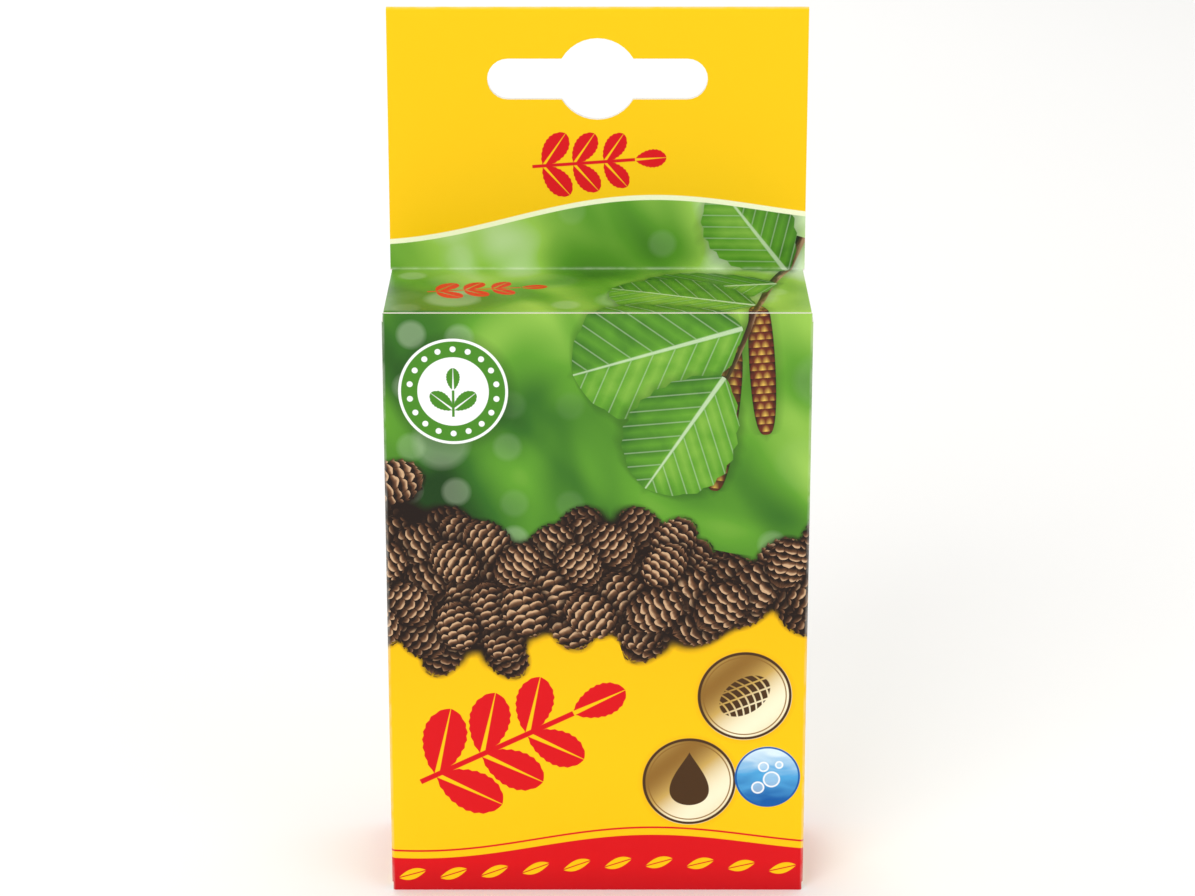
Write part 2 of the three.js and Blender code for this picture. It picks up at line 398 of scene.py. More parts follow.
    @contextmanager
    def layer(self, name: str) -> Iterator[None]:
        """Works in a node group of its own, so that every tree stays small and quick to build.

        The group's place takes an unfelt share of the colour below. So the renderer ends one layer
        before it starts the next, and its small stack holds the numbers of one layer at a time.

        Args:
            name: Name of the group.

        Yields:
            Nothing; what is laid meanwhile goes into the group.
        """
        outside = (self.tree, self.place, self.across, self.along)
        under = self.colour
        group = bpy.data.node_groups.new(name, "ShaderNodeTree")
        group.interface.new_socket("Place", in_out="INPUT", socket_type="NodeSocketVector")
        group.interface.new_socket("Under", in_out="INPUT", socket_type="NodeSocketColor")
        group.interface.new_socket("Over", in_out="OUTPUT", socket_type="NodeSocketColor")
        self.tree = group
        entry = self.node("NodeGroupInput")
        self.colour = entry.outputs["Under"]
        waiting = self.node("ShaderNodeVectorMath", operation="MULTIPLY_ADD")
        for socket, value in zip(waiting.inputs, (self.colour, self.unfelt, entry.outputs["Place"])):
            self.plug(socket, value)
        self.place = waiting.outputs[0]
        self.across, self.along = self.split(self.place)
        yield
        self.plug(self.node("NodeGroupOutput").inputs["Over"], self.colour)
        self.tree, self.place, self.across, self.along = outside
        made = self.node("ShaderNodeGroup", node_tree=group)
        self.plug(made.inputs["Place"], self.place)
        self.plug(made.inputs["Under"], under)
        self.colour = made.outputs["Over"]

    def add(self, *motifs: "Motif") -> None:
        """Prints motifs, each in a layer of its own."""
        for motif in motifs:
            with self.layer(type(motif).__name__):
                motif.lay(self)

    def close(self, roughness: Number, bump: Optional[Num] = None, depth: float = 0.0,
              specular: float = 0.5) -> bpy.types.Material:
        """Ends the material in a shader.

        Args:
            roughness: Roughness, plain or varying.
            bump: Height of the surface's own texture.
            depth: How far that height stands out, in metres.
            specular: Specular level.

        Returns:
            The material.
        """
        shader = self.node("ShaderNodeBsdfPrincipled")
        self.plug(shader.inputs["Base Color"], self.colour)
        self.plug(shader.inputs["Roughness"], roughness)
        shader.inputs["Specular IOR Level"].default_value = specular
        if bump is not None:
            relief = self.node("ShaderNodeBump")
            relief.inputs["Strength"].default_value = 1.0
            relief.inputs["Distance"].default_value = depth
            self.plug(relief.inputs["Height"], bump)
            self.plug(shader.inputs["Normal"], relief.outputs[0])
        output = self.node("ShaderNodeOutputMaterial")
        self.plug(output.inputs["Surface"], shader.outputs[0])
        return self.material


@dataclass(frozen=True)
class Wave:
    """A wavy border between two printed fields: its height over the sheet's width, in millimetres."""

    level: float
    slope: float
    swing: float
    length: float
    phase: float = 0.0

    def height(self, across: Num) -> Num:
        """Height of the border at a place across the sheet."""
        swing = (across * (2 * math.pi / self.length) + self.phase).sine() * self.swing
        return across * self.slope + self.level + swing


def past_ends(along: Num, length: float) -> Num:
    """How far a place lies past either end of a motif that starts at its origin."""
    return (abs(along - length / 2) - length / 2).most(0.0)


@dataclass(frozen=True)
class Leaf:
    """An alder leaf: broad, blunt and toothed, with straight side veins."""

    x: float
    y: float
    turn: float
    length: float
    width: float
    tones: Tuple[Ink, Ink, Ink] = (Ink.GREEN_DEEP, Ink.GREEN_LEAF, Ink.GREEN_FRESH)
    fullness: float = 0.62
    base_breadth: float = 0.78
    tip_widening: float = 0.42
    teeth: float = 0.03
    tooth_count: float = 17.0
    vein: float = 0.09
    vein_gap: float = 0.13
    vein_slant: float = 0.8
    vein_strength: float = 0.34
    midrib: float = 0.34
    midrib_taper: float = 0.24
    midrib_strength: float = 0.62
    shadow: float = 0.55

    def outline(self, plate: Plate) -> Tuple[Num, Num, Num]:
        """The leaf's own frame and the distance inside its margin.

        Args:
            plate: The printed sheet.

        Returns:
            Distance along the midrib, distance from it, and distance inside the margin.
        """
        along, aside = plate.at(self.x, self.y, self.turn)
        share = (along / self.length).clamped()
        swell = (share * (1.0 - share) * 4.0) ** self.fullness
        full = swell * (share * self.tip_widening + self.base_breadth)
        teeth = (share * self.tooth_count).zigzag(1.0) * (self.teeth * self.width)
        outside = abs(aside) + past_ends(along, self.length)
        return along, aside, full * (self.width / 2) - outside - teeth - 0.05

    def lay(self, plate: Plate) -> None:
        """Prints the leaf with its shadow, veins and midrib."""
        along, aside, inside = self.outline(plate)
        plate.lay(Ink.GREEN_NIGHT, plate.edge(inside + 0.5, 2.6) * self.shadow)
        mask = plate.edge(inside, 0.12)
        gap = self.vein_gap * self.length
        rib = (along - abs(aside) * self.vein_slant).zigzag(gap / 2)
        cloud = plate.noise(size=4.0, swirl=0.4, offset=self.x)
        lit_half = plate.edge(aside, 1.5) * 0.24
        shade = rib * (0.4 / gap) + lit_half + inside * (0.5 / self.width) + cloud * 0.5 - 0.2
        plate.lay(plate.ramp(shade, tuple(zip((0.05, 0.45, 0.95), self.tones))), mask)
        veins = plate.edge(self.vein - rib, 0.2) * self.vein_strength
        half = self.midrib - along * (self.midrib_taper / self.length)
        midrib = plate.edge(half - abs(aside), 0.18) * self.midrib_strength
        plate.lay(Ink.GREEN_PALE, veins.most(midrib) * mask)


@dataclass(frozen=True)
class Twig:
    """A brown twig with a slight bend, thinner towards its end."""

    x: float
    y: float
    turn: float
    length: float
    width: float
    shadow: float = 0.45
    bend: float = 0.5
    taper: float = 0.32

    def lay(self, plate: Plate) -> None:
        """Prints the twig with light along one side."""
        along, aside = plate.at(self.x, self.y, self.turn)
        bent = aside + (along * (2 * math.pi / self.length)).sine() * (self.width * self.bend)
        half = self.width / 2 - along * (self.taper * self.width / self.length)
        ends = plate.edge(along * (self.length - along) / self.length, 0.1)
        inside = half - abs(bent)
        plate.lay(Ink.GREEN_NIGHT, plate.edge(inside + 0.4, 1.6) * ends * self.shadow)
        bark = plate.noise(size=0.7, stretch=(4.0, 1.0), turn=self.turn)
        shade = bent / self.width + bark * 0.8
        stops = ((0.1, Ink.CONE_GAP), (0.5, Ink.TWIG), (0.95, Ink.CONE_TIP))
        plate.lay(plate.ramp(shade, stops), plate.edge(inside, 0.12) * ends)


@dataclass(frozen=True)
class Sprig:
    """A twig with plain leaves in one ink, as a flat ornament."""

    x: float
    y: float
    turn: float
    length: float
    leaf: float
    pairs: int
    ink: Ink
    lean: float = 52.0
    first_pair: float = 0.35
    breadth: float = 0.62

    def lay(self, plate: Plate) -> None:
        """Prints the stem, a leaf at its end and the pairs beside it."""
        along, aside = plate.at(self.x, self.y, self.turn)
        ends = plate.edge((along * (self.length - along)) / self.length + 0.02, 0.1)
        plate.lay(self.ink, plate.edge(self.leaf * 0.035 + 0.05 - abs(aside), 0.1) * ends)
        heading = math.radians(self.turn)
        for pair in range(self.pairs + 1):
            share = (pair + self.first_pair) / (self.pairs + self.first_pair)
            x = self.x + math.cos(heading) * self.length * share
            y = self.y + math.sin(heading) * self.length * share
            size = self.leaf * (1.08 - 0.25 * share)
            for side in ((1, -1) if pair < self.pairs else (0,)):
                with plate.layer("SprigLeaf"):
                    leaf = Leaf(x, y, self.turn + side * self.lean, size, size * self.breadth)
                    from_base, from_rib, inside = leaf.outline(plate)
                    gap = self.leaf * 0.034 - from_base * (0.03 * self.leaf / size)
                    plate.lay(self.ink, plate.edge(inside, 0.1) * plate.edge(abs(from_rib) - gap, 0.1))


@dataclass(frozen=True)
class Catkin:
    """A hanging catkin of small overlapping bracts."""

    x: float
    y: float
    turn: float
    length: float
    width: float
    shadow: float = 0.45
    fullness: float = 0.3
    bract_length: float = 0.3
    bract_width: float = 0.34

    def lay(self, plate: Plate) -> None:
        """Prints the catkin with a soft shadow."""
        along, aside = plate.at(self.x, self.y, self.turn)
        share = (along / self.length).clamped()
        half = (share * (1.0 - share) * 4.0) ** self.fullness * (self.width / 2)
        inside = half - abs(aside) - past_ends(along, self.length) - 0.04
        plate.lay(Ink.GREEN_NIGHT, plate.edge(inside + 0.4, 1.8) * self.shadow)
        row = along / (self.width * self.bract_length)
        column = aside / (self.width * self.bract_width) + row.whole() * 0.5
        bract = (1.0 - abs(column.rest() - 0.5) * 1.6) * row.rest()
        round_shade = (1.0 - (aside / half) ** 2.0).root()
        shade = bract * 0.7 * round_shade + round_shade * 0.25
        colours = ((0.1, Ink.CONE_GAP), (0.35, Ink.CATKIN_DARK), (0.85, Ink.CATKIN_LIGHT))
        plate.lay(plate.ramp(shade, colours), plate.edge(inside, 0.12))


@dataclass(frozen=True)
class ConeSpot:
    """Where a printed cone lies, and what sets it apart from the next one.

    Places along its axis and beside it are in half lengths and half widths from its middle.
    """

    along: Num
    aside: Num
    chance: Number
    present: Number
    light: float
    grain: float

    def reach(self) -> Num:
        """Distance from the middle, one on the cone's outline."""
        return (self.along * self.along + self.aside * self.aside).root()


@dataclass(frozen=True, kw_only=True)
class ConePrint:
    """How a printed cone is drawn: a rounded body with ragged rows of scales."""

    slimness: float = 1.3
    rows: float = 7.4
    columns: float = 4.8
    taper: float = 0.14
    row_sag: float = 2.0
    row_drift: float = 0.75
    column_drift: float = 0.8
    drift_size: float = 1.7
    lip_curl: float = 0.4
    raggedness: float = 0.16

    def draw(self, plate: Plate, spot: ConeSpot, reach: Num) -> None:
        """Prints one cone, or a whole layer of a heap at once.

        Args:
            plate: The printed sheet.
            spot: Where the cone lies.
            reach: Distance from its middle, one on its outline.
        """
        along, aside = spot.along, spot.aside
        swell = ((1.0 - along * along).root() * (1.0 - along * self.taper)).most(0.05)
        turn = plate.math("ARCSINE", (aside / swell).most(-1.0).least(1.0)) / math.pi
        drift, wander = plate.noise_pair(size=self.drift_size, offset=spot.grain)
        row = along * (self.rows / 2) + turn * turn * self.row_sag + drift * self.row_drift
        column = turn * self.columns + row.whole() * 0.5 + wander * self.column_drift
        from_middle = abs(column.rest() - 0.5) * 2.0
        lip = (row + from_middle * from_middle * self.lip_curl).rest()
        tone = plate.toss(row.whole(), column.whole(), spot.chance) * 0.6 + 0.8
        rim = plate.edge(lip - 0.78, 0.2) * 0.35
        scale_light = (lip ** 1.7 * 0.9 + rim) * (1.0 - from_middle ** 3.0 * 0.85) * tone
        body_light = (1.0 - reach * reach).root() * 1.1 + aside * 0.22 + 0.06
        shade = scale_light * body_light * (spot.chance * 0.3 + 0.85) * spot.light
        stops = ((0.04, Ink.CONE_GAP), (0.34, Ink.CONE_BODY), (0.9, Ink.CONE_TIP))
        outline = plate.edge(1.0 - reach + lip * self.raggedness - 0.1, 0.06)
        plate.lay(plate.ramp(shade, stops), outline * spot.present)


@dataclass(frozen=True)
class LooseCone(ConePrint):
    """One printed cone, with its tip where its turn points."""

    x: float
    y: float
    turn: float
    length: float
    shadow: float = 0.35
    chance: float = 0.6

    def lay(self, plate: Plate) -> None:
        """Prints the cone with a soft shadow."""
        along, aside = plate.at(self.x, self.y, self.turn)
        half_length = self.length / 2
        half_width = half_length / self.slimness
        spot = ConeSpot(along / half_length, aside / half_width, self.chance, 1.0, 1.0, self.x)
        reach = spot.reach()
        plate.lay(Ink.CONE_GAP, plate.edge(1.1 - reach, 0.4) * self.shadow)
        plate.lay(Ink.CONE_GAP, plate.edge(1.02 - reach, 0.06))
        self.draw(plate, spot, reach)


@dataclass(frozen=True)
class ConeHeap(ConePrint):
    """A printed heap of cones at random places, in layers that get lighter towards the front."""

    upper: Wave
    lower: Wave
    spacing: float = 9.8
    looseness: float = 0.36
    hindmost_light: float = 0.58
    least_half_length: float = 0.39
    half_length_play: float = 0.07
    contact_shadow: float = 0.7
    cast_shadow: float = 0.85
    first_place: Point = (200.0, 100.0)
    offsets: Tuple[Point, ...] = (
        (0.0, 0.0), (5.3, 4.9), (2.2, 7.6), (7.6, 1.7), (4.1, 2.6), (8.9, 5.6),
    )

    def lay(self, plate: Plate) -> None:
        """Prints the dark ground and every layer, the hindmost first."""
        plate.lay(Ink.CONE_GAP, plate.edge(self.depth(plate.across, plate.along) - 2.0, 1.6))
        for layer, offset in enumerate(self.offsets):
            share = layer / (len(self.offsets) - 1)
            with plate.layer("ConeLayer"):
                self.lay_layer(plate, offset, self.hindmost_light + (1.0 - self.hindmost_light) * share)

    def depth(self, across: Num, along: Num) -> Num:
        """How far a place lies within the heap's borders."""
        return (self.upper.height(across) - along).least(along - self.lower.height(across))

    def lay_layer(self, plate: Plate, offset: Point, light: float) -> None:
        """Prints one layer.

        Args:
            plate: The printed sheet.
            offset: Shift of the layer's random places.
            light: How much light the layer gets.
        """
        shift = (offset[0] + self.first_place[0], offset[1] + self.first_place[1])
        shifted = plate.node("ShaderNodeVectorMath", operation="ADD")
        plate.plug(shifted.inputs[0], plate.place)
        shifted.inputs[1].default_value = (*shift, 0.0)
        cells = plate.node("ShaderNodeTexVoronoi", voronoi_dimensions="2D", feature="F1")
        plate.plug(cells.inputs["Vector"], shifted.outputs[0])
        cells.inputs["Scale"].default_value = 1.0 / self.spacing
        cells.inputs["Randomness"].default_value = self.looseness
        chance, other_chance = plate.split(cells.outputs["Color"])
        middle_x, middle_y = plate.split(cells.outputs["Position"])
        present = plate.edge(self.depth(middle_x - shift[0], middle_y - shift[1]), 0.01)

        local = plate.node("ShaderNodeVectorMath", operation="SUBTRACT")
        plate.plug(local.inputs[0], shifted.outputs[0])
        plate.plug(local.inputs[1], cells.outputs["Position"])
        turned = plate.node("ShaderNodeVectorRotate", rotation_type="Z_AXIS")
        plate.plug(turned.inputs["Vector"], local.outputs[0])
        plate.plug(turned.inputs["Angle"], chance * (2 * math.pi))
        along, aside = plate.split(turned.outputs[0])
        half_length = (other_chance * self.half_length_play + self.least_half_length) * self.spacing
        half_width = half_length / self.slimness
        spot = ConeSpot(along / half_length, aside / half_width, chance, present, light, offset[0])
        reach = spot.reach()
        plate.lay(Ink.CONE_GAP, plate.edge(1.05 - reach, 0.22) * present * self.contact_shadow)
        shadow = plate.edge(1.2 - reach, 0.36) * present
        within = plate.edge(self.depth(plate.across, plate.along), 2.0)
        plate.lay(Ink.CONE_GAP, shadow * within * self.cast_shadow)
        self.draw(plate, spot, reach)


@dataclass(frozen=True)
class Roundel:
    """A gold medallion with a dark rim."""

    x: float
    y: float
    radius: float
    rim: float = 0.2
    rim_inset: float = 0.25
    inner_rim: float = 0.09
    inner_rim_inset: float = 0.85
    glint_turn: float = -50.0

    def lay(self, plate: Plate) -> None:
        """Prints the gold face, its brushed glint and its rims."""
        out = plate.distance(self.x, self.y)
        along, _ = plate.at(self.x, self.y, self.glint_turn)
        glint = (along * (2.6 / self.radius)).sine() * 0.5 + 0.5
        stops = ((0.0, Ink.GOLD_DARK), (0.4, Ink.GOLD), (1.0, Ink.GOLD_PALE))
        plate.lay(Ink.YELLOW_DEEP, plate.edge(self.radius + 0.35 - out, 0.9) * 0.55)
        plate.lay(plate.ramp(glint, stops), plate.edge(self.radius - out))
        plate.lay(Ink.UMBER, plate.edge(self.rim - abs(out - (self.radius - self.rim_inset))))
        inner = abs(out - (self.radius - self.inner_rim_inset))
        plate.lay(Ink.GOLD_DARK, plate.edge(self.inner_rim - inner))


@dataclass(frozen=True)
class FoliagePicture:
    """An out-of-focus green backdrop of leaves and light.

    Each kind of light spot has a spacing, a radius as a share of it, and a strength.
    """

    spots: Tuple[Tuple[float, float, float], ...] = ((13.0, 0.3, 0.3), (7.5, 0.26, 0.24))
    spot_scatter: float = 0.5
    blur_weight: float = 1.15
    blade_weight: float = 0.42
    lighter_upwards: float = 0.0062
    lighter_rightwards: float = 0.0042
    darkness: float = 0.42

    def lay(self, plate: Plate) -> None:
        """Prints the blurred greens, the stretched blades and the spots of light."""
        blur = plate.noise(size=22.0, detail=1.5, swirl=0.6, offset=3.7)
        blades = plate.noise(size=9.0, detail=1.0, swirl=0.4, stretch=(1.0, 3.2), turn=28.0, offset=11.0)
        lift = plate.math("MULTIPLY_ADD", plate.along, self.lighter_upwards, -self.darkness)
        side = plate.across * self.lighter_rightwards
        tone = blur * self.blur_weight + blades * self.blade_weight + lift + side - self.darkness
        stops = ((0.0, Ink.GREEN_NIGHT), (0.24, Ink.GREEN_DEEP), (0.46, Ink.GREEN_LEAF),
                 (0.68, Ink.GREEN_FRESH), (0.95, Ink.GREEN_PALE))
        plate.lay(plate.ramp(tone, stops))
        for spacing, radius, strength in self.spots:
            cells = plate.node("ShaderNodeTexVoronoi", voronoi_dimensions="2D", feature="F1")
            plate.plug(cells.inputs["Vector"], plate.place)
            cells.inputs["Scale"].default_value = 1.0 / spacing
            cells.inputs["Randomness"].default_value = self.spot_scatter
            chance, weight = plate.split(cells.outputs["Color"])
            spot = plate.edge(radius - Num(plate, cells.outputs["Distance"]), 0.1)
            plate.lay(Ink.GREEN_PALE, spot * plate.edge(chance - 0.55, 0.1) * weight * strength)


@dataclass(frozen=True)
class Drop:
    """A drop of water as a flat pictogram, its point upwards."""

    x: float
    y: float
    height: float

    def lay(self, plate: Plate) -> None:
        """Prints the drop in dark ink."""
        down, aside = plate.at(self.x, self.y, -90.0)
        share = (down / self.height).clamped()
        half = share ** 1.25 * (1.0 - share).root() * (self.height * 0.98)
        plate.lay(Ink.UMBER, plate.edge(half - abs(aside) - 0.05))


@dataclass(frozen=True)
class ConePictogram:
    """A cone as a flat pictogram, its rows of scales left open."""

    x: float
    y: float
    half_length: float = 4.1
    half_width: float = 2.7
    turn: float = 35.0
    row_gap: float = 0.55
    column_gap: float = 0.8
    line: float = 0.13

    def lay(self, plate: Plate) -> None:
        """Prints the cone in dark ink."""
        along, aside = plate.at(self.x, self.y, self.turn)
        reach = ((along / self.half_length) ** 2.0 + (aside / self.half_width) ** 2.0).root()
        row = (along + aside * aside * 0.12).zigzag(self.row_gap)
        column = (aside + along * 0.25).zigzag(self.column_gap)
        gaps = plate.edge(row.least(column) - self.line, 0.1)
        plate.lay(Ink.UMBER, plate.edge(1.0 - reach, 0.04) * gaps)


@dataclass(frozen=True)
class Badge:
    """A white disc with a green ring of dots and a sprig in its middle."""

    x: float
    y: float
    radius: float
    dots: int = 18
    dot_radius: float = 0.42
    ring_place: float = 0.8
    ring: float = 0.15

    def lay(self, plate: Plate) -> None:
        """Prints the badge with a soft shadow."""
        out = plate.distance(self.x, self.y)
        plate.lay(Ink.GREEN_NIGHT, plate.edge(self.radius + 0.5 - out, 2.2) * 0.5)
        plate.lay(Ink.WHITE, plate.edge(self.radius - out))
        middle = self.radius * self.ring_place
        ring = abs(out - middle)
        plate.lay(Ink.GREEN_BADGE, plate.edge(self.radius * self.ring - ring))
        along, aside = plate.at(self.x, self.y)
        turn = plate.math("ARCTAN2", aside, along) * (self.dots / (2 * math.pi))
        bead = abs(turn.rest() - 0.5) * (2 * math.pi * middle / self.dots)
        plate.lay(Ink.WHITE, plate.edge(self.dot_radius - (bead * bead + ring * ring).root()))
        foot = self.y - self.radius * 0.48
        plate.add(Sprig(self.x, foot, 90, self.radius * 0.5, self.radius * 0.52, 1, Ink.GREEN_BADGE))


@dataclass(frozen=True)
class WaterRound:
    """A small round of water with rising bubbles."""

    x: float
    y: float
    radius: float
    bubbles: Tuple[Tuple[float, float, float], ...] = (
        (-1.4, -1.7, 0.85), (0.6, -0.4, 1.15), (-0.6, 1.6, 0.7), (1.7, 1.9, 0.5),
    )

    def lay(self, plate: Plate) -> None:
        """Prints the water, the bubbles and the rim."""
        out = plate.distance(self.x, self.y)
        rise = (plate.along - self.y) * (0.5 / self.radius) + 0.5
        ripple = plate.noise(size=2.2, detail=1.0, swirl=1.2, stretch=(2.5, 1.0))
        stops = ((0.05, Ink.WATER_DEEP), (0.5, Ink.WATER), (0.95, Ink.WATER_PALE))
        plate.lay(plate.ramp(rise + ripple * 0.5 - 0.25, stops), plate.edge(self.radius - out))
        for dx, dy, size in self.bubbles:
            bubble = plate.distance(self.x + dx, self.y + dy)
            plate.lay(Ink.WATER_PALE, plate.edge(size - bubble) * 0.35)
            plate.lay(Ink.WHITE, plate.edge(0.12 - abs(bubble - size)) * 0.9)
        plate.lay(Ink.WATER_DEEP, plate.edge(0.14 - abs(out - self.radius + 0.15)))


@dataclass(frozen=True)
class InfoPanel:
    """A bare pale panel with round corners and a thin keyline."""

    x: float
    y: float
    half_width: float
    half_height: float
    corner: float = 2.0

    def lay(self, plate: Plate, across: Num) -> None:
        """Prints the panel.

        Args:
            plate: The printed sheet.
            across: Place across the face that the panel stands on.
        """
        over_x = abs(across - self.x) - (self.half_width - self.corner)
        over_y = abs(plate.along - self.y) - (self.half_height - self.corner)
        out_x, out_y = over_x.most(0.0), over_y.most(0.0)
        out = (out_x * out_x + out_y * out_y).root() + over_x.most(over_y).least(0.0)
        inside = self.corner - out
        plate.lay(Ink.CREAM, plate.edge(inside))
        plate.lay(Ink.RED, plate.edge(0.14 - abs(inside - 0.9)))


@dataclass(frozen=True)
class RedFoot:
    """The red foot with a fine line over it and a row of leaves, which runs round the whole carton."""

    border: Wave = Wave(level=7.2, slope=0.02, swing=1.6, length=64.0, phase=0.9)
    line_lift: float = 1.2
    line_half_width: float = 0.15
    bottom_darkening_height: float = 1.5
    bottom_darkening_softness: float = 6.0
    bottom_darkening_strength: float = 0.55
    leaf_gap: float = 6.1
    leaf_half_width: float = 0.85
    leaf_bend: float = 0.2
    leaf_lean: float = 0.3
    rib_half_width: float = 0.09

    def lay(self, plate: Plate) -> None:
        """Prints the line, the red field, darker towards the bottom edge, and the leaves."""
        height = self.border.height(plate.across)
        over = plate.along - height
        plate.lay(Ink.RED, plate.edge(self.line_half_width - abs(over - self.line_lift)))
        red = plate.edge(0.0 - over)
        plate.lay(Ink.RED, red)
        # The red gets darker towards the bottom edge of the carton.
        bottom_darkening = plate.edge(self.bottom_darkening_height - plate.along, self.bottom_darkening_softness)
        plate.lay(Ink.RED_DEEP, red * bottom_darkening * self.bottom_darkening_strength)
        apart = ((plate.across / self.leaf_gap).rest() - 0.5) * self.leaf_gap
        lift = plate.along - height * 0.5 - apart * self.leaf_lean
        leaf = self.leaf_half_width - apart * apart * self.leaf_bend - abs(lift)
        plate.lay(Ink.YELLOW, plate.edge(leaf) * plate.edge(abs(lift) - self.rib_half_width))


@dataclass(frozen=True)
class Artwork:
    """The carton's print: a leafy picture over a yellow field with a red foot.

    Places and sizes are in the flat sheet's millimetres, and turns are in degrees.
    """

    header_border: Wave = Wave(level=120.6, slope=0.05, swing=2.4, length=74.0, phase=1.1)
    field_border: Wave = Wave(level=45.5, slope=0.07, swing=2.6, length=82.0, phase=2.6)
    field_glow: Tuple[float, float, float] = (14.0, 22.0, 0.35)
    keyline: float = 0.75
    heap: ConeHeap = ConeHeap(
        upper=Wave(level=57.0, slope=-0.12, swing=3.4, length=33.0, phase=0.9),
        lower=Wave(level=39.5, slope=0.06, swing=2.8, length=29.0, phase=2.2),
    )
    foot: RedFoot = RedFoot()
    side_panel: InfoPanel = InfoPanel(x=42.8, y=24.0, half_width=9.2, half_height=11.0)
    back_panel: InfoPanel = InfoPanel(x=85.5, y=50.0, half_width=25.5, half_height=34.0, corner=3.0)
    front_fold: float = 30.4
    rear_fold: float = 55.1
    lid_folds: Tuple[float, ...] = (89.2, 112.2, 151.2)
    # Pale marks along the folds: worn print and a painted highlight of the fold edges.
    wear_and_highlight_half_width: float = 0.12
    wear_and_highlight_from: float = 0.44
    wear_and_highlight_strength: float = 0.36
    hanging_twig: Tuple[Motif, ...] = (
        Catkin(19.4, 84.5, -97, 22.0, 4.0),
        Catkin(22.6, 92.0, -86, 21.0, 3.8),
        Twig(30.0, 117.0, -107.3, 40.0, 1.5),
        Leaf(28.0, 111.5, 128, 17.0, 13.5),
        Leaf(26.0, 104.0, 192, 21.0, 17.0),
        Leaf(22.4, 92.5, 158, 22.0, 18.0),
        Leaf(20.5, 86.8, 196, 25.0, 20.0),
        Leaf(18.0, 79.6, 236, 20.0, 16.5),
    )
    front_marks: Tuple[Motif, ...] = (
        Sprig(-26.0, 17.4, 26, 25.0, 10.2, 3, Ink.RED),
        Roundel(21.5, 31.0, 6.9),
        Roundel(13.5, 17.5, 6.9),
        ConePictogram(21.5, 31.0),
        Drop(13.5, 22.3, 8.6),
        WaterRound(25.0, 18.2, 4.8),
        Badge(-20.5, 77.5, 7.8),
    )
    top_marks: Tuple[Motif, ...] = (
        Sprig(-9.5, 127.6, 4, 15.0, 5.6, 3, Ink.RED),
        Sprig(-24.5, 99.5, 8, 13.5, 4.8, 3, Ink.RED),
    )
    side_marks: Tuple[Motif, ...] = (
        Sprig(-45.8, 17.4, 65, 10.5, 5.4, 3, Ink.GREEN_BADGE),
        Sprig(39.8, 17.4, 65, 10.5, 5.4, 3, Ink.GREEN_BADGE),
    )
    back_marks: Tuple[Motif, ...] = (
        Roundel(69.5, 73.0, 6.2),
        Roundel(85.5, 73.0, 6.2),
        Roundel(101.5, 73.0, 6.2),
        ConePictogram(69.5, 73.0, 3.7, 2.4),
        Drop(85.5, 77.3, 7.7),
        Sprig(101.5, 69.6, 90, 3.4, 3.7, 1, Ink.UMBER),
        Sprig(77.0, 98.5, 3, 15.0, 5.6, 3, Ink.RED),
    )
    back_twig: Tuple[Motif, ...] = (
        Catkin(95.5, 50.2, -86, 18.0, 3.3, 0.15),
        Catkin(98.6, 51.6, -79, 16.0, 3.1, 0.15),
        Twig(64.5, 30.0, 33, 40.0, 1.3, 0.15),
        Twig(69.2, 33.0, -105, 4.0, 0.8, 0.15),
        Twig(73.4, 35.8, -84, 8.0, 0.8, 0.15),
        Leaf(71.0, 34.3, 92, 19.0, 15.0, shadow=0.15),
        Leaf(85.0, 43.4, 100, 17.0, 14.0, shadow=0.15),
        Leaf(78.0, 38.8, -18, 19.0, 15.5, shadow=0.15),
        Leaf(97.2, 51.2, 30, 12.5, 10.0, shadow=0.15),
        LooseCone(70.5, 25.5, -70, 12.0),
        LooseCone(79.2, 24.8, -42, 12.5),
        LooseCone(99.5, 24.0, 14, 13.0),
    )

    def yellow_field(self, plate: Plate) -> None:
        """Prints the yellow field below the picture with its pale keyline."""
        under = self.field_border.height(plate.across) - plate.along
        plate.lay(Ink.KEYLINE, plate.edge(under + self.keyline))
        depth, softness, strength = self.field_glow
        plate.lay(Ink.YELLOW, plate.edge(under))
        plate.lay(Ink.YELLOW_DEEP, plate.edge(under) * plate.edge(depth - under, softness) * strength)

    def front(self) -> bpy.types.Material:
        """Prints the front panel."""
        plate = Plate("printed_front")
        plate.add(FoliagePicture(), *self.hanging_twig)
        self.yellow_field(plate)
        plate.add(self.heap)
        self.foot.lay(plate)
        plate.add(*self.front_marks)
        self.wear_and_fold_highlight(plate, abs(plate.across), self.front_fold)
        return self.varnish(plate)

    def top(self) -> bpy.types.Material:
        """Prints the lid and the header's face."""
        plate = Plate("printed_lid_and_header")
        plate.add(FoliagePicture(), *self.hanging_twig)
        over = plate.along - self.header_border.height(plate.across)
        plate.lay(Ink.KEYLINE, plate.edge(over + self.keyline))
        plate.lay(Ink.YELLOW, plate.edge(over))
        plate.add(*self.top_marks)
        self.wear_and_fold_highlight(plate, plate.along, *self.lid_folds)
        return self.varnish(plate)

    def side(self) -> bpy.types.Material:
        """Prints both side panels."""
        plate = Plate("printed_side")
        plate.add(FoliagePicture())
        self.yellow_field(plate)
        plate.add(self.heap)
        self.foot.lay(plate)
        self.side_panel.lay(plate, abs(plate.across))
        plate.add(*self.side_marks)
        self.wear_and_fold_highlight(plate, abs(plate.across), self.front_fold, self.rear_fold)
        return self.varnish(plate)

    def back(self) -> bpy.types.Material:
        """Prints the back panel and the header's rear layer."""
        plate = Plate("printed_back")
        plate.lay(Ink.YELLOW)
        self.foot.lay(plate)
        self.back_panel.lay(plate, plate.across)
        plate.add(*self.back_marks, *self.back_twig)
        return self.varnish(plate)

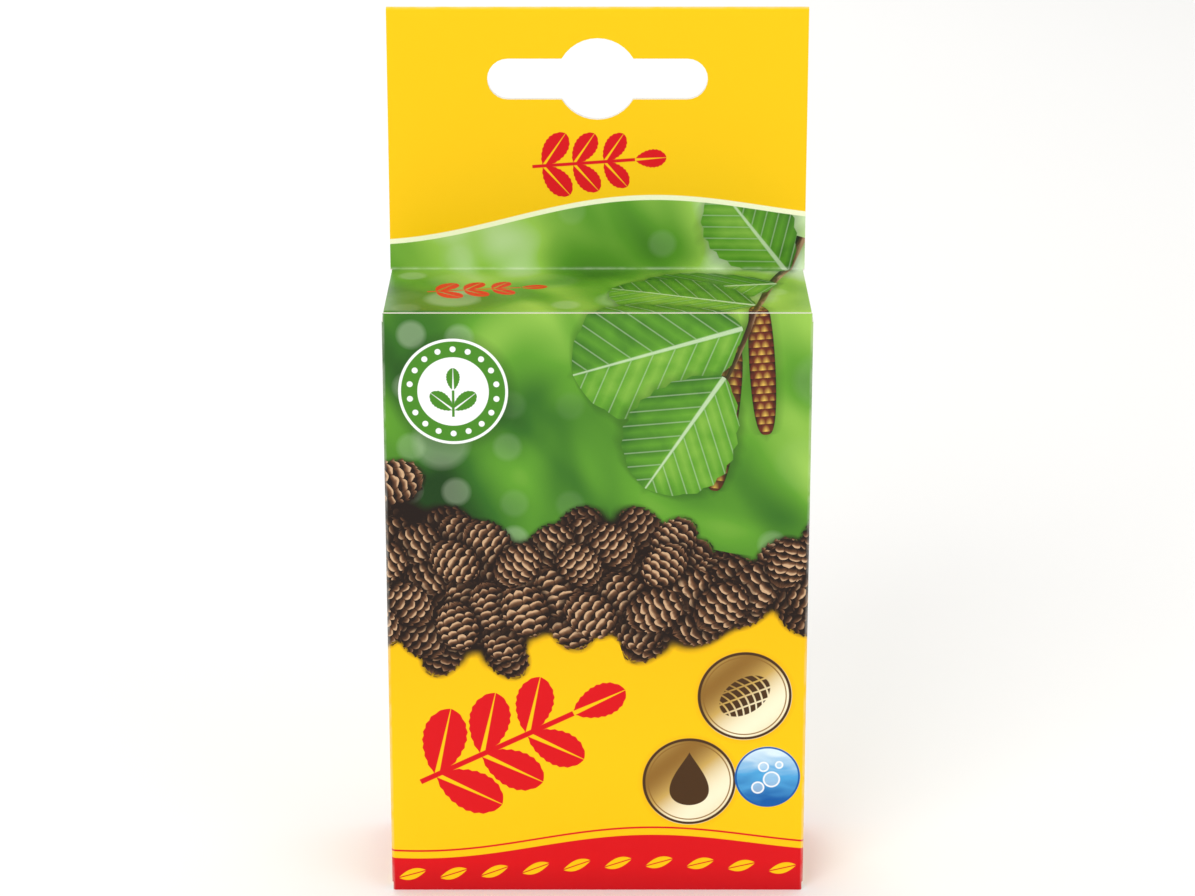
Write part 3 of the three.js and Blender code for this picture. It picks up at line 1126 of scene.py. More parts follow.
    def wear_and_fold_highlight(self, plate: Plate, place: Num, *folds: float) -> None:
        """Lays pale board colour along the folds: partly worn print, partly a painted highlight of the fold
        edges.

        Args:
            plate: The printed sheet.
            place: Place across the folds.
            *folds: Where the folds are.
        """
        rub_and_highlight_noise = plate.noise(size=2.6, detail=3.0, offset=13.0)
        # Each fold gets a pale line that is partly wear and partly painted highlight.
        for fold in folds:
            near_fold = plate.edge(self.wear_and_highlight_half_width - abs(place - fold), 0.5)
            wear_and_highlight_mask = near_fold * plate.edge(rub_and_highlight_noise - self.wear_and_highlight_from, 0.3)
            plate.lay(Ink.BOARD_EDGE, wear_and_highlight_mask * self.wear_and_highlight_strength)

    def varnish(self, plate: Plate) -> bpy.types.Material:
        """Seals a print under satin varnish on coated board."""
        mottle = plate.noise(size=1.1, detail=3.0, offset=5.0)
        fibre = plate.noise(size=0.32, swirl=0.5, stretch=(1.0, 2.4), turn=90.0, offset=9.0)
        roughness = mottle * 0.1 + 0.32
        return plate.close(roughness, bump=fibre + mottle * 0.7, depth=2.4e-6, specular=0.2)


@dataclass(frozen=True)
class BoardFinish:
    """The board's own surfaces: its unprinted inside, its cut edges and its plain coated flaps."""

    def inside(self) -> bpy.types.Material:
        """The matt grey-cream reverse with fibres and flecks."""
        plate = Plate("board_inside")
        plate.lay(Ink.BOARD_INSIDE)
        fibres = plate.noise(size=0.5, detail=3.0, swirl=0.8, stretch=(1.0, 3.5), turn=80.0)
        plate.lay(Ink.BOARD_FLECK, plate.edge(fibres - 0.62, 0.3) * 0.55)
        cloud = plate.noise(size=14.0, detail=3.0, swirl=0.3, offset=2.0)
        plate.lay(Ink.BOARD_EDGE, cloud * 0.3)
        return plate.close(roughness=0.82, bump=fibres, depth=9e-6, specular=0.25)

    def edge(self) -> bpy.types.Material:
        """The white fibrous core that shows where the board is cut."""
        plate = Plate("board_cut_edge", mapped=False)
        plate.lay(Ink.BOARD_EDGE)
        layers = plate.noise(size=0.12 * MM, offset=1.0)
        plate.lay(Ink.BOARD_FLECK, plate.edge(layers - 0.6, 0.3) * 0.4)
        return plate.close(roughness=0.75, bump=layers, depth=6e-6, specular=0.3)

    def flap(self) -> bpy.types.Material:
        """White coated board with yellow ink that bleeds a little past the fold."""
        plate = Plate("board_coated_flap")
        plate.lay(Ink.CREAM)
        ragged = plate.noise(size=1.5) * 0.5
        plate.lay(Ink.YELLOW, plate.edge(ragged + 3.2 - plate.along, 0.15))
        mottle = plate.noise(size=1.1, detail=3.0, offset=5.0)
        roughness = mottle * 0.12 + 0.36
        return plate.close(roughness, bump=mottle, depth=2.4e-6, specular=0.45)


class Panel(Enum):
    """Printed faces of the carton, each with artwork of its own."""

    FRONT = "front"
    TOP = "lid_and_header"
    SIDE = "side"
    BACK = "back"


@dataclass(frozen=True)
class CartonSizes:
    """Sizes of the carton, read from the frame, in metres."""

    half_width: float
    front: float
    back: float
    body: float
    top: float
    board: float
    header: float
    lid_front: float
    lid_half_width: float

    @classmethod
    def from_frame(cls) -> "CartonSizes":
        """Reads the sizes from the frame's panels."""
        front_low, front_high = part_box("front_panel")
        _, back_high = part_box("back_panel")
        header_low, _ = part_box("header_front_layer")
        lid_low, lid_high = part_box("lid_panel")
        return cls(
            half_width=front_high.x,
            front=front_low.y,
            back=back_high.y,
            body=front_high.z,
            top=back_high.z,
            board=front_high.y - front_low.y,
            header=header_low.y,
            lid_front=lid_low.y,
            lid_half_width=lid_high.x,
        )

    @property
    def lid_depth(self) -> float:
        """Length of the lid from its crease to its front fold."""
        return self.header - self.lid_front


OUTER_BEND = 0.6 * MM
CREASE_BEND = 0.15 * MM
BEND_STRIPS = 6
HOLDING_LOOP = 0.25 * MM


def bend_length(radius: float, turn: float, strips: int = BEND_STRIPS) -> float:
    """Length of board that a bend takes, measured along its strips."""
    return strips * 2 * radius * math.sin(abs(turn) / (2 * strips))


def take_up(radius: float, turn: float) -> float:
    """How much shorter each panel beside a bend is than up to the sharp corner."""
    return radius * math.tan(abs(turn) / 2) - bend_length(radius, turn) / 2


def arc(centre: Point, radius: float, start: float, end: float, steps: int) -> list[Point]:
    """Points along an arc, both ends included, with angles in degrees."""
    angles = [math.radians(start + (end - start) * step / steps) for step in range(steps + 1)]
    return [(centre[0] + radius * math.cos(a), centre[1] + radius * math.sin(a)) for a in angles]


@dataclass(frozen=True)
class EuroSlot:
    """The hang slot, a round-ended slot with a round hump at its middle."""

    length: float = 32 * MM
    height: float = 6 * MM
    hump: float = 12 * MM
    below_top: float = 10.5 * MM
    steps: int = 12

    def outline(self, x: float, y: float) -> list[Point]:
        """Points round the slot about its centre."""
        end = self.height / 2
        reach = self.length / 2 - end
        lift = math.degrees(math.asin(end / (self.hump / 2)))
        return [
            *arc((x + reach, y), end, -90, 90, self.steps),
            *arc((x, y), self.hump / 2, lift, 180 - lift, self.steps),
            *arc((x - reach, y), end, 90, 270, self.steps),
            *arc((x, y), self.hump / 2, 180 + lift, 360 - lift, self.steps),
        ]


class FoldAxis(Enum):
    """Which way a crease runs on the flat sheet."""

    UPRIGHT = 0
    LEVEL = 1


@dataclass(frozen=True)
class Crease:
    """A fold of a flat sheet along a straight line.

    A positive turn is a mountain fold, with the print on its outside. The part on the side that
    beyond points to is the one that moves; stays and goes name what is cut free of the crease.
    """

    axis: FoldAxis
    at: float
    turn: float
    radius: float
    beyond: int
    strips: int = BEND_STRIPS
    stays: Callable[[Vector], bool] = field(default=lambda place: False)
    goes: Callable[[Vector], bool] = field(default=lambda place: False)

    def lines(self) -> list[float]:
        """Places of the score lines, from the fixed side outwards."""
        chord = bend_length(self.radius, self.turn, self.strips) / self.strips
        return [self.at + self.beyond * (step - self.strips / 2) * chord for step in range(self.strips + 1)]


class BoardSheet:
    """A sheet of board that is cut flat, creased, printed, folded and given its thickness.

    It is drawn in XY with its printed side up.
    """

    sharp_from = math.radians(32)

    def __init__(self, outlines: Sequence[Sequence[Point]]) -> None:
        """Cuts the sheet.

        Args:
            outlines: The outline and any holes, each a closed run of points in metres.
        """
        self.bm = bmesh.new()
        self.creases: list[Crease] = []
        edges = []
        for outline in outlines:
            verts = [self.bm.verts.new((x, y, 0.0)) for x, y in outline]
            edges += [self.bm.edges.new(pair) for pair in zip(verts, verts[1:] + verts[:1])]
        bmesh.ops.triangle_fill(self.bm, use_beauty=True, use_dissolve=False, edges=edges, normal=(0, 0, 1))

    def score(self, axis: FoldAxis, places: Iterable[float]) -> None:
        """Splits the sheet along straight lines."""
        normal = Vector((0.0, 0.0, 0.0))
        normal[axis.value] = 1.0
        for place in places:
            geometry = [*self.bm.verts, *self.bm.edges, *self.bm.faces]
            bmesh.ops.bisect_plane(
                self.bm, geom=geometry, dist=EPSILON, plane_co=normal * place, plane_no=normal
            )

    def grid(self, step: float) -> None:
        """Splits the sheet both ways, so that it can bow."""
        for axis in FoldAxis:
            values = [vert.co[axis.value] for vert in self.bm.verts]
            low, high = min(values), max(values)
            count = max(2, round((high - low) / step))
            self.score(axis, [low + (high - low) * n / count for n in range(1, count)])

    def crease(self, *creases: Crease) -> None:
        """Scores creases, each with a holding loop on either side of its bend."""
        for crease in creases:
            lines = crease.lines()
            reach = crease.beyond * HOLDING_LOOP
            self.score(crease.axis, [lines[0] - reach, *lines, lines[-1] + reach])
            self.creases.append(crease)

    def map_print(self, to_print: Callable[[Vector], Point]) -> None:
        """Writes the flat place of every corner, in the print's millimetres."""
        layer = self.bm.loops.layers.uv.new(PRINT_MAP)
        for face in self.bm.faces:
            for loop in face.loops:
                loop[layer].uv = to_print(loop.vert.co)

    def dress(self, slot_of: Callable[[Vector], int]) -> None:
        """Gives every printed face the material slot of its panel."""
        for face in self.bm.faces:
            face.material_index = slot_of(face.calc_center_median())

    def bow(self, height_at: Callable[[Vector], float]) -> None:
        """Bows the flat sheet towards its printed side."""
        self.flat = {vert: vert.co.copy() for vert in self.bm.verts}
        for vert, place in self.flat.items():
            vert.co.z += height_at(place)

    def fold(self) -> None:
        """Folds every crease, the outermost first, strip by strip."""
        for crease in sorted(self.creases, key=lambda c: -c.at * c.beyond):
            level = crease.axis is FoldAxis.LEVEL
            hinge = Vector((1.0, 0.0, 0.0)) if level else Vector((0.0, 1.0, 0.0))
            sense = crease.beyond * (-1 if level else 1)
            lines = crease.lines()
            for step, line in reversed(list(enumerate(lines))):
                share = 0.5 if step in (0, len(lines) - 1) else 1.0
                centre = Vector((0.0, 0.0, 0.0))
                centre[crease.axis.value] = line
                moved = [vert for vert, place in self.flat.items() if self.moves(crease, place, line)]
                turn = Matrix.Rotation(sense * crease.turn * share / crease.strips, 3, hinge)
                bmesh.ops.rotate(self.bm, verts=moved, cent=centre, matrix=turn)

    @staticmethod
    def moves(crease: Crease, place: Vector, line: float) -> bool:
        """True if a flat place lies past a score line of a crease, or goes with what does."""
        if crease.stays(place):
            return False
        past = (place[crease.axis.value] - line) * crease.beyond > EPSILON
        return past or crease.goes(place)

    def thicken(self, board: float, inside_slot: int, edge_slot: int) -> None:
        """Gives the folded sheet its thickness.

        Args:
            board: Thickness of the board.
            inside_slot: Material slot of the unprinted side.
            edge_slot: Material slot of the cut edges.
        """
        self.bm.normal_update()
        printed = set(self.bm.faces)
        normals = {tuple(vert.co): vert.normal.copy() for vert in self.bm.verts}
        made = bmesh.ops.extrude_face_region(self.bm, geom=self.bm.faces[:], use_keep_orig=True)["geom"]
        copies = {part for part in made if isinstance(part, bmesh.types.BMFace)}
        for part in made:
            if isinstance(part, bmesh.types.BMVert):
                part.co -= normals[tuple(part.co)] * board
        for face in self.bm.faces:
            if face not in printed:
                face.material_index = inside_slot if face in copies else edge_slot
        bmesh.ops.recalc_face_normals(self.bm, faces=self.bm.faces)

    def make_up(self, board: float, slot_of: Callable[[Vector], int] = lambda place: 0,
                height_at: Callable[[Vector], float] = lambda place: 0.0, prints: int = 1) -> None:
        """Dresses, bows and folds the flat sheet, and gives it its thickness.

        Args:
            board: Thickness of the board.
            slot_of: Material slot of the panel at a flat place.
            height_at: How far the sheet bows outwards at a flat place.
            prints: Number of printed slots; those of the inside and the cut edges come after them.
        """
        self.dress(slot_of)
        self.bow(height_at)
        self.fold()
        self.thicken(board, prints, prints + 1)

    def finish(self, name: str, place: Matrix, materials: Sequence[bpy.types.Material]) -> bpy.types.Object:
        """Makes the sheet an object.

        Args:
            name: The piece's name.
            place: Where the flat sheet's frame goes.
            materials: Material slots, in order.

        Returns:
            The object, with its place in its mesh.
        """
        bmesh.ops.transform(self.bm, matrix=place, verts=self.bm.verts)
        for face in self.bm.faces:
            face.smooth = True
        mesh = close_mesh(self.bm, name)
        mesh.set_sharp_from_angle(angle=self.sharp_from)
        for material in materials:
            mesh.materials.append(material)
        return add_object(name, mesh)


@dataclass
class Carton:
    """The folded board: sleeve, lid strip, dust flaps and bottom closure."""

    sizes: CartonSizes
    slot: EuroSlot = EuroSlot()
    bow_front: float = 0.35 * MM
    bow_side: float = 0.25 * MM
    bow_back: float = 0.2 * MM
    bow_lid: float = 0.22 * MM
    grid_step: float = 7 * MM
    seam_gap: float = 0.6 * MM
    raw_edge_gap: float = 0.1 * MM
    glue_flap_width: float = 12 * MM
    glue_flap_taper: float = 5 * MM
    tuck_length: float = 11 * MM
    tuck_corner: float = 7 * MM
    tuck_lean: float = math.radians(16)
    tuck_play: float = 0.3 * MM
    flap_rear_cut: float = 9.5 * MM
    flap_corner: float = 3 * MM
    corner_steps: int = 10

    def __post_init__(self) -> None:
        """Makes the carton's finishes."""
        art = Artwork()
        board = BoardFinish()
        self.inside = board.inside()
        self.edge = board.edge()
        self.flap = board.flap()
        self.prints = {
            Panel.FRONT: art.front(),
            Panel.TOP: art.top(),
            Panel.SIDE: art.side(),
            Panel.BACK: art.back(),
        }

    def build(self) -> list[bpy.types.Object]:
        """Builds every piece of board.

        Returns:
            The pieces.
        """
        pieces = [self.sleeve(), self.lid_strip(), self.bottom_closure()]
        for side, word in ((-1, "left"), (1, "right")):
            pieces.append(self.top_dust_flap(side, word))
            pieces.append(self.bottom_dust_flap(side, word))
        return pieces

    def slot_outline(self, x: float) -> list[Point]:
        """Points round the hang slot in a header layer whose flat sheet has its middle at x."""
        return self.slot.outline(x, self.sizes.top - self.slot.below_top)

    def sleeve(self) -> bpy.types.Object:
        """Folds the front, the sides, the back with the header's rear layer, and the glue flap."""
        sizes = self.sizes
        short = take_up(OUTER_BEND, QUARTER)
        half_bend = bend_length(OUTER_BEND, QUARTER) / 2
        depth = sizes.back - sizes.front
        right = sizes.half_width - short
        side_start = right - short
        rear = side_start + depth - short
        back_start = rear - short
        seam = back_start + 2 * sizes.half_width - self.seam_gap - short
        flap_tip = seam - short + self.glue_flap_width
        left_edge = -(side_start + depth - self.raw_edge_gap)
        side_low, side_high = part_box("left_side_panel")
        glue_low, glue_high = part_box("glue_flap")
        side_foot, side_head = side_low.z + OUTER_BEND, side_high.z
        header_top = sizes.top - (sizes.back - sizes.header) / 2
        header_left = back_start + 2 * sizes.half_width
        outline = [
            (left_edge, side_foot), (-right, side_foot), (-right, 0.0), (right, 0.0), (right, side_foot),
            (rear, side_foot), (rear, OUTER_BEND), (seam, OUTER_BEND), (seam, glue_low.z),
            (flap_tip, glue_low.z + self.glue_flap_taper), (flap_tip, glue_high.z - self.glue_flap_taper),
            (seam, glue_high.z), (seam, sizes.body), (header_left, sizes.body), (header_left, header_top),
            (back_start, header_top), (back_start, sizes.body), (rear + half_bend, sizes.body),
            (rear + half_bend, side_head), (right, side_head), (right, sizes.body), (-right, sizes.body),
            (-right, side_head), (left_edge, side_head),
        ]
        middle = back_start + sizes.half_width
        sheet = BoardSheet([outline, self.slot_outline(middle)])
        sheet.grid(self.grid_step)

        def in_header(place: Vector) -> bool:
            """True in the header's rear layer, which stays flat beside the folded walls."""
            return place.y > sizes.body - EPSILON and place.x > rear - 2 * OUTER_BEND

        sheet.crease(
            Crease(FoldAxis.UPRIGHT, -right, QUARTER, OUTER_BEND, beyond=-1),
            Crease(FoldAxis.UPRIGHT, right, QUARTER, OUTER_BEND, beyond=1),
            Crease(FoldAxis.UPRIGHT, rear, QUARTER, OUTER_BEND, beyond=1, goes=in_header),
            Crease(FoldAxis.UPRIGHT, seam, QUARTER, OUTER_BEND, beyond=1, stays=in_header),
        )
        sheet.map_print(lambda place: (place.x / MM, place.y / MM))
        order = (Panel.FRONT, Panel.SIDE, Panel.BACK)

        def panel_at(place: Vector) -> int:
            """Which printed panel a place of the flat sleeve is on."""
            return 0 if abs(place.x) < right else 1 if place.x < rear else 2

        def bow(place: Vector) -> float:
            """How far a place of the flat sleeve bows outwards."""
            rise = math.sin(math.pi * min(max(place.y / sizes.body, 0.0), 1.0))
            for start, end, height in (
                (-right, right, self.bow_front),
                (right, rear, self.bow_side),
                (left_edge, -right, self.bow_side),
                (rear, seam, self.bow_back),
            ):
                if start < place.x < end:
                    return height * rise * math.sin(math.pi * (place.x - start) / (end - start)) ** 1.5
            return 0.0

        sheet.make_up(sizes.board, panel_at, bow, len(order))
        materials = [*(self.prints[panel] for panel in order), self.inside, self.edge]
        place = Matrix.Translation((0.0, sizes.front, 0.0)) @ UPRIGHT_TURN
        piece = sheet.finish("carton_sleeve", place, materials)
        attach(piece, "carton")
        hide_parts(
            "front_panel", "left_side_panel", "right_side_panel", "back_panel", "glue_flap"
        )
        return piece

    def tuck_outline(self, half_width: float, crease: float, tip: float) -> list[Point]:
        """Points round a tuck with round corners, from its left end on the crease to its right end."""
        corner = self.tuck_corner
        inner = half_width - corner
        towards = 1 if tip > crease else -1
        centre_y = tip - towards * corner
        left = arc((-inner, centre_y), corner, 180, 180 - towards * 90, self.corner_steps)
        right = arc((inner, centre_y), corner, towards * 90, 0, self.corner_steps)
        return [(-half_width, crease), *left, *right, (half_width, crease)]

    def lid_strip(self) -> bpy.types.Object:
        """Folds the header's front layer, the lid and its tuck, which are one strip of board."""
        sizes = self.sizes
        over_radius = (sizes.back - sizes.header) / 2
        over_strips = 2 * BEND_STRIPS
        over_length = bend_length(over_radius, 2 * QUARTER, over_strips)
        over_start = sizes.top - over_radius
        hinge_short = take_up(CREASE_BEND, QUARTER)
        tuck_turn = QUARTER + self.tuck_lean
        tuck_short = take_up(OUTER_BEND, tuck_turn)
        hinge = sizes.body + hinge_short
        fold = hinge + hinge_short - sizes.lid_depth + tuck_short
        tuck_tip = fold + tuck_short - self.tuck_length
        half, lid_half = sizes.half_width, sizes.lid_half_width
        top_end = over_start + over_length
        outline = [
            *self.tuck_outline(lid_half - self.tuck_play, fold, tuck_tip),
            (lid_half, fold), (lid_half, hinge), (half, hinge), (half, top_end),
            (-half, top_end), (-half, hinge), (-lid_half, hinge), (-lid_half, fold),
        ]
        sheet = BoardSheet([outline, self.slot_outline(0.0)])
        sheet.grid(self.grid_step)
        over = over_start + over_length / 2
        sheet.crease(
            Crease(FoldAxis.LEVEL, over, 2 * QUARTER, over_radius, beyond=1, strips=over_strips),
            Crease(FoldAxis.LEVEL, hinge, -QUARTER, CREASE_BEND, beyond=-1),
            Crease(FoldAxis.LEVEL, fold, tuck_turn, OUTER_BEND, beyond=-1),
        )
        sheet.map_print(lambda place: (place.x / MM, (place.y + sizes.lid_depth) / MM))

        def bow(place: Vector) -> float:
            """How far a place of the flat strip bows outwards: the lid's middle a little."""
            share = min(max((place.y - fold) / (hinge - fold), 0.0), 1.0)
            return self.bow_lid * math.sin(math.pi * share) * math.cos(math.pi / 2 * place.x / half)

        sheet.make_up(sizes.board, height_at=bow)
        place = Matrix.Translation((0.0, sizes.header, 0.0)) @ UPRIGHT_TURN
        piece = sheet.finish("header_and_lid", place, [self.prints[Panel.TOP], self.inside, self.edge])
        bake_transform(piece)
        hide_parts("header_front_layer", "lid_panel", "lid_tuck_flap")
        return piece

    def dust_flap_sheet(self, side: int, node: str, down: bool) -> BoardSheet:
        """Cuts and folds a dust flap with the bend that joins it to its side wall.

        Args:
            side: Minus one for the left wall, one for the right.
            node: The frame's solid that it stands for.
            down: True for a flap whose printed side faces down.

        Returns:
            The folded sheet, still without its place.
        """
        sizes = self.sizes
        low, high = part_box(node)
        flip = -1 if down else 1
        short = take_up(OUTER_BEND, QUARTER)
        wall = sizes.half_width - short
        start = wall + bend_length(OUTER_BEND, QUARTER) / 2
        tip = sizes.half_width - (high.x - low.x) - self.seam_gap
        corner = self.flap_corner
        curve = arc((-(tip + corner), low.y + corner), corner, -90, 0, self.corner_steps)
        left = [(-start, low.y), *curve, (-tip, high.y - self.flap_rear_cut), (-start, high.y)]
        sheet = BoardSheet([[(-side * x, flip * y) for x, y in left]])
        sheet.crease(Crease(FoldAxis.UPRIGHT, side * wall, QUARTER, OUTER_BEND, beyond=side))
        sheet.map_print(lambda place: (place.y / MM, (sizes.half_width - abs(place.x)) / MM))
        sheet.make_up(sizes.board)
        return sheet

    def top_dust_flap(self, side: int, word: str) -> bpy.types.Object:
        """Makes a dust flap that lies under the lid and swings on its side wall."""
        node = f"top_dust_flap_{word}"
        _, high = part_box(node)
        sheet = self.dust_flap_sheet(side, node, down=False)
        place = Matrix.Translation((0.0, 0.0, high.z))
        piece = sheet.finish(f"upper_dust_flap_{word}", place, [self.flap, self.inside, self.edge])
        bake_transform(piece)
        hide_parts(node)
        return piece

    def bottom_dust_flap(self, side: int, word: str) -> bpy.types.Object:
        """Makes a dust flap of the glued bottom."""
        node = f"bottom_dust_flap_{word}"
        low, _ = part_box(node)
        sheet = self.dust_flap_sheet(side, node, down=True)
        place = Matrix.Translation((0.0, 0.0, low.z)) @ FACE_DOWN
        piece = sheet.finish(f"lower_dust_flap_{word}", place, [self.flap, self.inside, self.edge])
        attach(piece, "carton")
        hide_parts(node)
        return piece

    def bottom_closure(self) -> bpy.types.Object:
        """Folds the bottom panel up into the back wall and its tuck up behind the front."""
        sizes = self.sizes
        low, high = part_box("bottom_panel")
        short = take_up(OUTER_BEND, QUARTER)
        front = -low.y - short
        tip = front - short + self.tuck_length
        rear = -(sizes.back - short)
        rear_end = rear - bend_length(OUTER_BEND, QUARTER) / 2
        _, tuck_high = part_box("bottom_tuck_flap")
        outline = [
            *self.tuck_outline(tuck_high.x, front, tip),
            (high.x, front), (high.x, rear_end), (-high.x, rear_end), (-high.x, front),
        ]
        sheet = BoardSheet([outline])
        sheet.crease(
            Crease(FoldAxis.LEVEL, front, QUARTER, OUTER_BEND, beyond=1),
            Crease(FoldAxis.LEVEL, rear, QUARTER, OUTER_BEND, beyond=-1),
        )
        sheet.map_print(lambda place: (place.x / MM, 0.0))
        sheet.make_up(sizes.board)
        piece = sheet.finish("bottom_closure", FACE_DOWN, [self.flap, self.inside, self.edge])
        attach(piece, "carton")
        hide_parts("bottom_panel", "bottom_tuck_flap")
        return piece


@dataclass(frozen=True)
class ConeScale:
    """One woody scale of a cone: a fan with a thick lobed lip, of unit reach and breadth."""

    columns: int = 6
    rows: int = 3
    root_breadth: float = 0.3
    flare: float = 0.7
    lobes: float = 2.5
    lobe_depth: float = 0.07
    shoulder: float = 0.12
    droop: float = 0.1
    thickness: float = 0.08
    lip_thickness: float = 0.2
    lip_slope: float = 0.1

    def mesh(self) -> bpy.types.Mesh:
        """Models the scale, with its root at the origin and its lip towards +Y."""
        bm = bmesh.new()
        lip = bm.verts.layers.float.new(LIP_ATTRIBUTE)
        bmesh.ops.create_grid(bm, x_segments=self.columns, y_segments=self.rows, size=0.5)
        for vert in bm.verts:
            out = vert.co.y + 0.5
            side = vert.co.x * 2
            # The lip layer also sets the wood's painted shade, darkest at the scale root.
            vert[lip] = out ** 2
            breadth = self.root_breadth + (1 - self.root_breadth) * out ** self.flare
            edge = self.lobe_depth * math.cos(side * self.lobes * math.pi) - self.shoulder * side ** 2
            vert.co = (0.5 * side * breadth, out * (1 + edge), -self.droop * side ** 2 * out)
        made = bmesh.ops.extrude_face_region(bm, geom=bm.faces[:], use_keep_orig=True)["geom"]
        for part in made:
            if isinstance(part, bmesh.types.BMVert):
                part.co.z += self.thickness + self.lip_thickness * part[lip]
                part.co.y -= self.lip_slope * part[lip]
        bmesh.ops.recalc_face_normals(bm, faces=bm.faces)
        return close_mesh(bm, "cone_scale")


@dataclass
class AlderCones:
    """The dried cones, each built of woody scales on a spiral round its axis."""

    fullness: float = 0.42
    base_girth: float = 1.04
    tip_loss: float = 0.12
    scale: ConeScale = ConeScale()
    scales: int = 56
    least_reach: float = 0.16
    more_reach: float = 0.6
    least_breadth: float = 0.14
    more_breadth: float = 0.86
    first_scale: float = 0.035
    scale_span: float = 0.94
    base_tilt: float = 6.0
    extra_tilt: float = 66.0
    tilt_curve: float = 1.3
    tilt_play: float = 5.0
    turn_play: float = 0.08
    spiral: float = math.radians(137.508)
    templates: int = 3
    length: float = 3.0
    stalk_length: float = 0.36
    stalk_radius: float = 0.16
    core: float = 0.6
    core_height: float = 0.97
    core_rings: int = 7
    core_sides: int = 9
    core_weld: float = 1e-4
    clearance: float = 0.95
    cad_stalk: float = 2 * MM
    sharp_from: float = math.radians(48)
    seed: int = SEED

    def build(self) -> list[bpy.types.Object]:
        """Builds a cone for every cone of the frame.

        Returns:
            The pieces.
        """
        chance = random.Random(self.seed)
        wood = self.wood()
        shapes = [self.template(chance) for _ in range(self.templates)]
        names = sorted(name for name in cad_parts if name.startswith("alder_cone_"))
        return [self.cone(name, shapes[n % self.templates], wood, chance) for n, name in enumerate(names)]

    def girth(self, share: float) -> float:
        """Radius of the egg-shaped body at a share of its length, one at its widest."""
        swell = (4 * share * (1 - share)) ** self.fullness
        return swell * (self.base_girth - self.tip_loss * share)

    def add_core(self, bm: bmesh.types.BMesh) -> None:
        """Adds the axis that the scales grow from, with its stub of stalk."""
        foot, stalk = -self.stalk_length, self.stalk_radius
        profile = [(0.0, foot), (stalk, foot), (stalk, 0.0)]
        for ring in range(1, self.core_rings):
            share = ring / self.core_rings
            profile.append((self.core * self.girth(share), share * self.length))
        profile.append((0.0, self.length * self.core_height))
        scales = set(bm.verts)
        verts = [bm.verts.new((radius, 0.0, height)) for radius, height in profile]
        edges = [bm.edges.new(pair) for pair in zip(verts, verts[1:])]
        bmesh.ops.spin(bm, geom=[*verts, *edges], axis=(0, 0, 1), cent=(0, 0, 0), dvec=(0, 0, 0),
                       angle=2 * math.pi, steps=self.core_sides, use_merge=True)
        spun = [vert for vert in bm.verts if vert not in scales]
        bmesh.ops.remove_doubles(bm, verts=spun, dist=self.core_weld)

    def template(self, chance: random.Random) -> bpy.types.Mesh:
        """A whole cone of unit radius along +Z.

        Args:
            chance: Seeded source of small differences between scales.

        Returns:
            Its mesh.
        """
        bm = bmesh.new()
        bm.verts.layers.float.new(LIP_ATTRIBUTE)
        scale = self.scale.mesh()
        for number in range(self.scales):
            share = self.first_scale + self.scale_span * (number + 0.5) / self.scales
            radius = self.girth(share)
            turn = number * self.spiral + chance.uniform(-self.turn_play, self.turn_play)
            lean = self.base_tilt + self.extra_tilt * share ** self.tilt_curve
            tilt = math.radians(lean + chance.uniform(-self.tilt_play, self.tilt_play))
            radial = Vector((math.cos(turn), math.sin(turn), 0.0))
            level = Vector((-math.sin(turn), math.cos(turn), 0.0))
            outward = radial * math.cos(tilt) + Vector((0.0, 0.0, math.sin(tilt)))
            upper = outward.cross(level)
            reach = self.more_reach * radius + self.least_reach
            breadth = self.more_breadth * radius + self.least_breadth
            lip_place = radial * radius + Vector((0.0, 0.0, share * self.length))
            root = lip_place - outward * reach
            place = Matrix((level * breadth, outward * reach, -upper * reach)).transposed().to_4x4()
            place.translation = root
            before = len(bm.verts)
            bm.from_mesh(scale)
            bm.verts.ensure_lookup_table()
            bmesh.ops.transform(bm, matrix=place, verts=bm.verts[before:])
        self.add_core(bm)
        girth = max(math.hypot(vert.co.x, vert.co.y) for vert in bm.verts)
        slim = self.clearance / girth
        bmesh.ops.scale(bm, vec=(slim, slim, 1.0), verts=bm.verts)
        bmesh.ops.recalc_face_normals(bm, faces=bm.faces)
        bpy.data.meshes.remove(scale)
        return close_mesh(bm, "cone_template")

    def cone(self, node: str, shape: bpy.types.Mesh, wood: bpy.types.Material,
             chance: random.Random) -> bpy.types.Object:
        """Places a cone where the frame's cone lies.

        Args:
            node: The frame's cone.
            shape: Template to copy.
            wood: Its finish.
            chance: Seeded source of its roll.

        Returns:
            The piece.
        """
        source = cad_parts[node].data
        points = np.array([vert.co for vert in source.vertices])
        middle = points.mean(axis=0)
        _, _, axes = np.linalg.svd(points - middle, full_matrices=False)
        axis = axes[0]
        along = (points - middle) @ axis
        near = 0.02 * MM
        if (along > along.max() - near).sum() > (along < along.min() + near).sum():
            axis, along = -axis, -along
        aside = np.linalg.norm(points - middle - np.outer((points - middle) @ axis, axis), axis=1)
        radius = float(aside.max())
        length = float(along.max() - along.min()) - self.cad_stalk
        base = Vector(middle + axis * (along.min() + self.cad_stalk))
        turn = Vector(axis).to_track_quat("Z", "Y").to_matrix().to_4x4()
        roll = Matrix.Rotation(chance.uniform(0, 2 * math.pi), 4, "Z")
        size = Matrix.Diagonal((radius, radius, length / self.length, 1.0))
        mesh = shape.copy()
        mesh.name = f"dried_{node}"
        mesh.transform(Matrix.Translation(base) @ turn @ roll @ size)
        mesh.shade_smooth()
        mesh.set_sharp_from_angle(angle=self.sharp_from)
        mesh.materials.append(wood)
        piece = add_object(mesh.name, mesh)
        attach(piece, "carton")
        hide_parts(node)
        return piece

